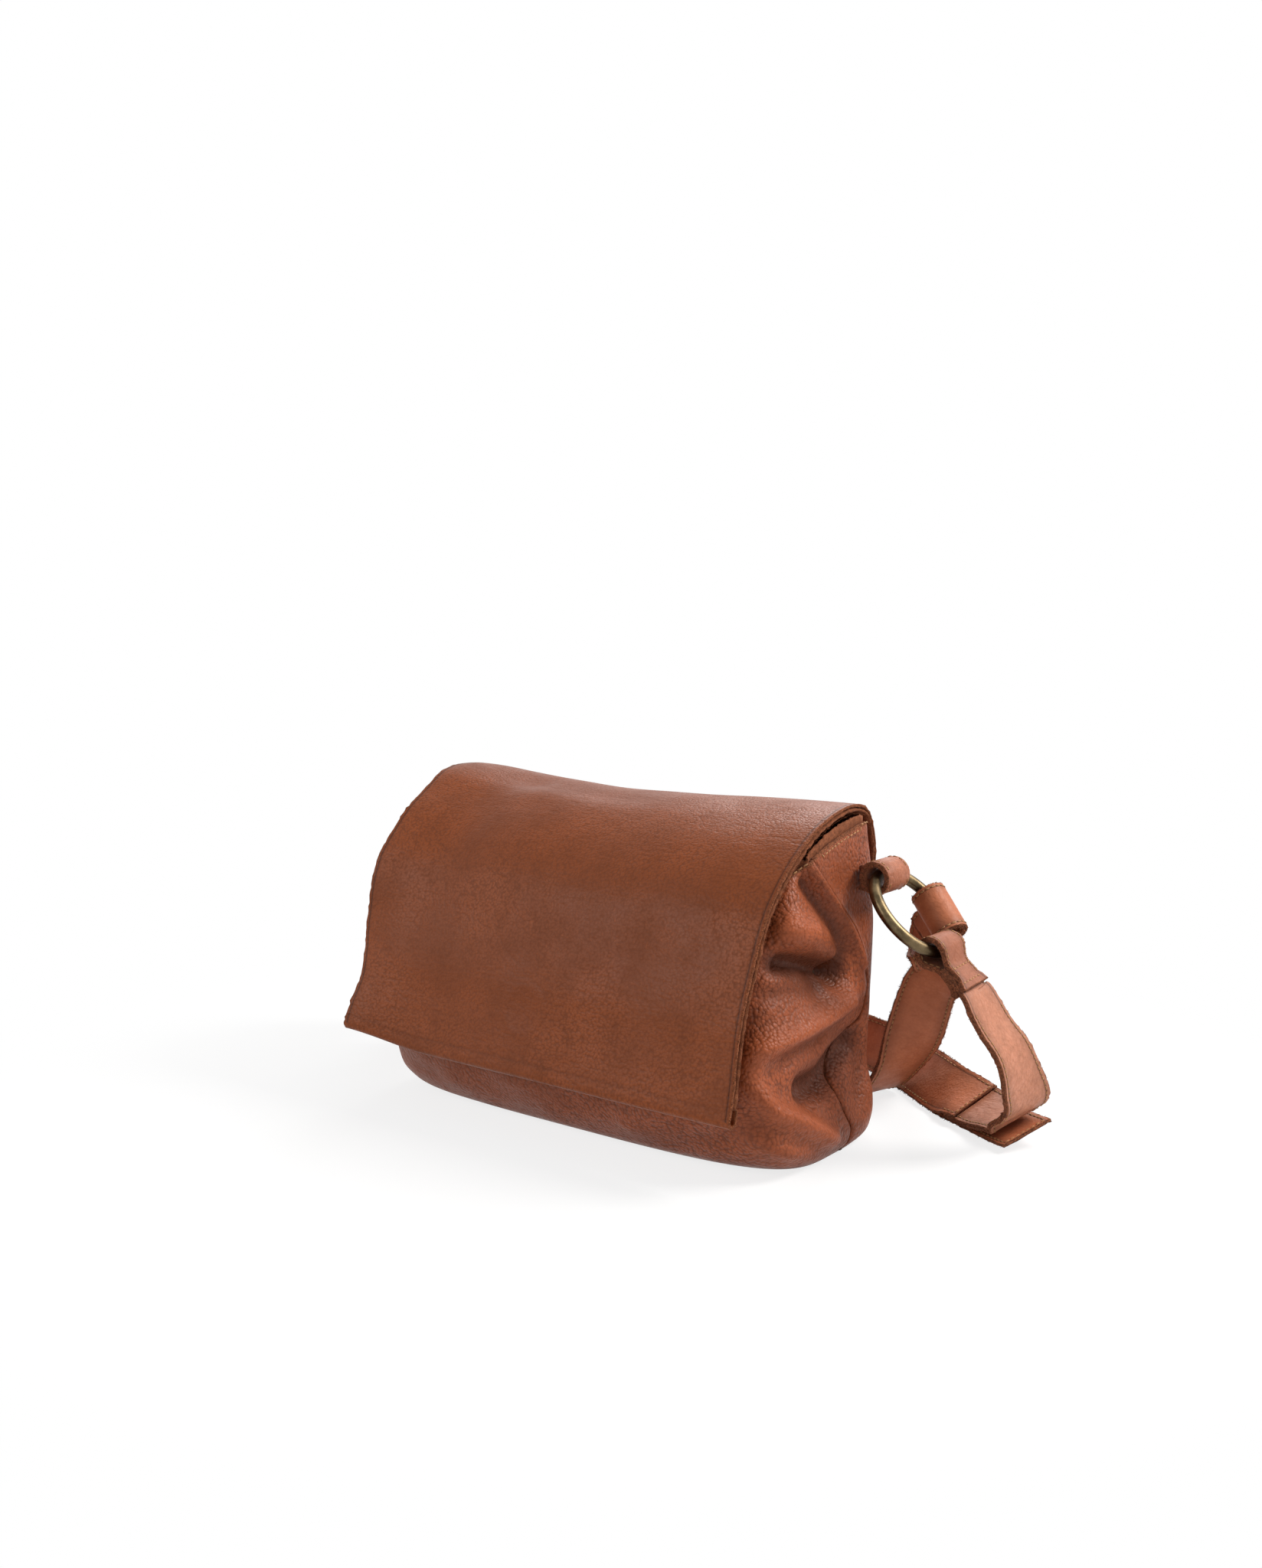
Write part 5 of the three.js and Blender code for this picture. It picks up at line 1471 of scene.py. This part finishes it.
def stage():
    """A white floor and world that light the bag softly, three lamps, and the photo's camera."""
    scene = bpy.context.scene
    scene.view_settings.view_transform = "Standard"
    scene.world = bpy.data.worlds.new("studio")
    n = Nodes(scene.world)
    n.tree.nodes.clear()
    lit = n.add("ShaderNodeBackground", Color=(1.0, 0.99, 0.98, 1), Strength=0.36)
    seen = n.add("ShaderNodeBackground", Color=(1, 1, 1, 1), Strength=1.0)
    n.add("ShaderNodeOutputWorld", Surface=n.add("ShaderNodeMixShader", i0=n.seen_rays(), i1=lit, i2=seen))

    n, here = new_look("pale_floor")
    n.surface(Base_Color=(0.86, 0.86, 0.86, 1), Roughness=0.9)
    from_bag = n.add("ShaderNodeVectorMath", {"operation": "LENGTH"}, i0=here).outputs["Value"]
    white = n.math("MULTIPLY", n.seen_rays(), n.remap(from_bag, 0.20, 0.48, 0.78, 1.0))
    mixed = n.add("ShaderNodeMixShader", i0=white, i1=n.tree.nodes["Principled BSDF"],
                  i2=n.add("ShaderNodeEmission", Color=(1, 1, 1, 1), Strength=1.0))
    n.put(n.tree.nodes["Material Output"].inputs["Surface"], mixed)
    bm = bmesh.new()
    bmesh.ops.create_grid(bm, x_segments=1, y_segments=1, size=30.0)
    floor = new_object("floor", bm, n.owner)
    floor.data.shade_flat()
    floor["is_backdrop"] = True

    area_light("key", (1.00, 0.60, 1.15), (0.05, 0.03, 0.08), 0.6, 27.0, (1.0, 0.985, 0.96))
    area_light("front", (-0.8, -1.4, 1.0), (0.0, -0.02, 0.08), 1.0, 15.0)
    area_light("back", (-0.4, 1.2, 1.2), (0.0, 0.05, 0.15), 0.9, 12.0)

    lens = bpy.data.cameras.new("camera")
    lens.lens, lens.sensor_width = 37.65, 36
    camera = bpy.data.objects.new("camera", lens)
    camera.location = (0.613, -0.798, 0.337)
    camera.rotation_euler = (math.radians(82.5), 0, math.radians(37.4))
    scene.collection.objects.link(camera)
    scene.camera = camera


# Operators


class MakeBody(bpy.types.Operator):
    """Makes the front and back leather of the body"""

    bl_idname = "flap_bag.body"
    bl_label = "Body leather"

    def execute(self, context):
        body_half(context.scene.flap_bag, -1, "body_front_leather", "body_front")
        body_half(context.scene.flap_bag, 1, "body_back_leather", "body_back")
        return {"FINISHED"}


class MakeInside(bpy.types.Operator):
    """Makes the facings at the mouth, the lining and the slip pocket"""

    bl_idname = "flap_bag.inside"
    bl_label = "Facing, lining and pocket"

    def execute(self, context):
        facing_half(context.scene.flap_bag, -1, "facing_front", "mouth_facing_front")
        facing_half(context.scene.flap_bag, 1, "facing_back", "mouth_facing_back")
        lining(context.scene.flap_bag)
        pocket(context.scene.flap_bag)
        return {"FINISHED"}


class MakeFlap(bpy.types.Operator):
    """Makes the flap's two layers and their stitches"""

    bl_idname = "flap_bag.flap"
    bl_label = "Flap"

    def execute(self, context):
        form = FlapForm(context.scene.flap_bag.bag)
        for make in (flap_outer, flap_inner, flap_trim):
            make(context.scene.flap_bag, form)
        return {"FINISHED"}


class MakeSnap(bpy.types.Operator):
    """Gives the snap its brass"""

    bl_idname = "flap_bag.snap"
    bl_label = "Snap"

    def execute(self, context):
        for name in ("snap_socket_flap", "snap_washer_flap", "snap_stud_body", "snap_washer_body"):
            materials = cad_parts[name].data.materials
            materials.clear()
            materials.append(look(context.scene.flap_bag, "brass"))
        return {"FINISHED"}


class MakeLoops(bpy.types.Operator):
    """Makes the leather loops on the bag's ends"""

    bl_idname = "flap_bag.loops"
    bl_label = "End loops"

    def execute(self, context):
        for end in (1, -1):
            end_loop(context.scene.flap_bag, end)
        return {"FINISHED"}


class MakeRings(bpy.types.Operator):
    """Makes the brass rings"""

    bl_idname = "flap_bag.rings"
    bl_label = "Rings"

    def execute(self, context):
        for end in (1, -1):
            brass_ring(context.scene.flap_bag, end)
        return {"FINISHED"}


class MakeStraps(bpy.types.Operator):
    """Makes the long strap, the short strap and the tab"""

    bl_idname = "flap_bag.straps"
    bl_label = "Straps"

    def execute(self, context):
        for make in (long_strap, short_strap, tab):
            make(context.scene.flap_bag)
        return {"FINISHED"}


class MakeStage(bpy.types.Operator):
    """Makes the floor, the lights and the camera"""

    bl_idname = "flap_bag.stage"
    bl_label = "Stage"

    def execute(self, context):
        stage()
        return {"FINISHED"}


class BagPanel(bpy.types.Panel):
    """Lists the bag's operators and sizes"""

    bl_idname = "VIEW3D_PT_flap_bag"
    bl_label = "Flap bag"
    bl_space_type = "VIEW_3D"
    bl_region_type = "UI"
    bl_category = "Flap bag"

    def draw(self, context):
        settings = context.scene.flap_bag
        for group in (settings.bag, settings.flap, settings.strap, settings.hardware, settings.colours):
            box = self.layout.box()
            for key in group.bl_rna.properties.keys():
                if key not in ("rna_type", "name"):
                    box.prop(group, key)
        for operator in MAKERS:
            self.layout.operator(operator.bl_idname)


GROUPS = (BagSizes, FlapSizes, StrapSizes, HardwareSizes, BagColours, BagSettings)
MAKERS = (MakeStage, MakeBody, MakeInside, MakeFlap, MakeSnap, MakeLoops, MakeRings, MakeStraps)


def register():
    for kind in GROUPS + MAKERS + (BagPanel,):
        bpy.utils.register_class(kind)
    bpy.types.Scene.flap_bag = bpy.props.PointerProperty(type=BagSettings)


def unregister():
    del bpy.types.Scene.flap_bag
    for kind in reversed(GROUPS + MAKERS + (BagPanel,)):
        bpy.utils.unregister_class(kind)


def corners(box):
    return [[float(value) for value in corner] for corner in box]


def main():
    register()
    for maker in MAKERS:
        group, name = maker.bl_idname.split(".")
        getattr(getattr(bpy.ops, group), name)()
    sizes = {"cad": corners(cad_box), "visual": corners(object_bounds())}


if __name__ == "__main__":
    main()
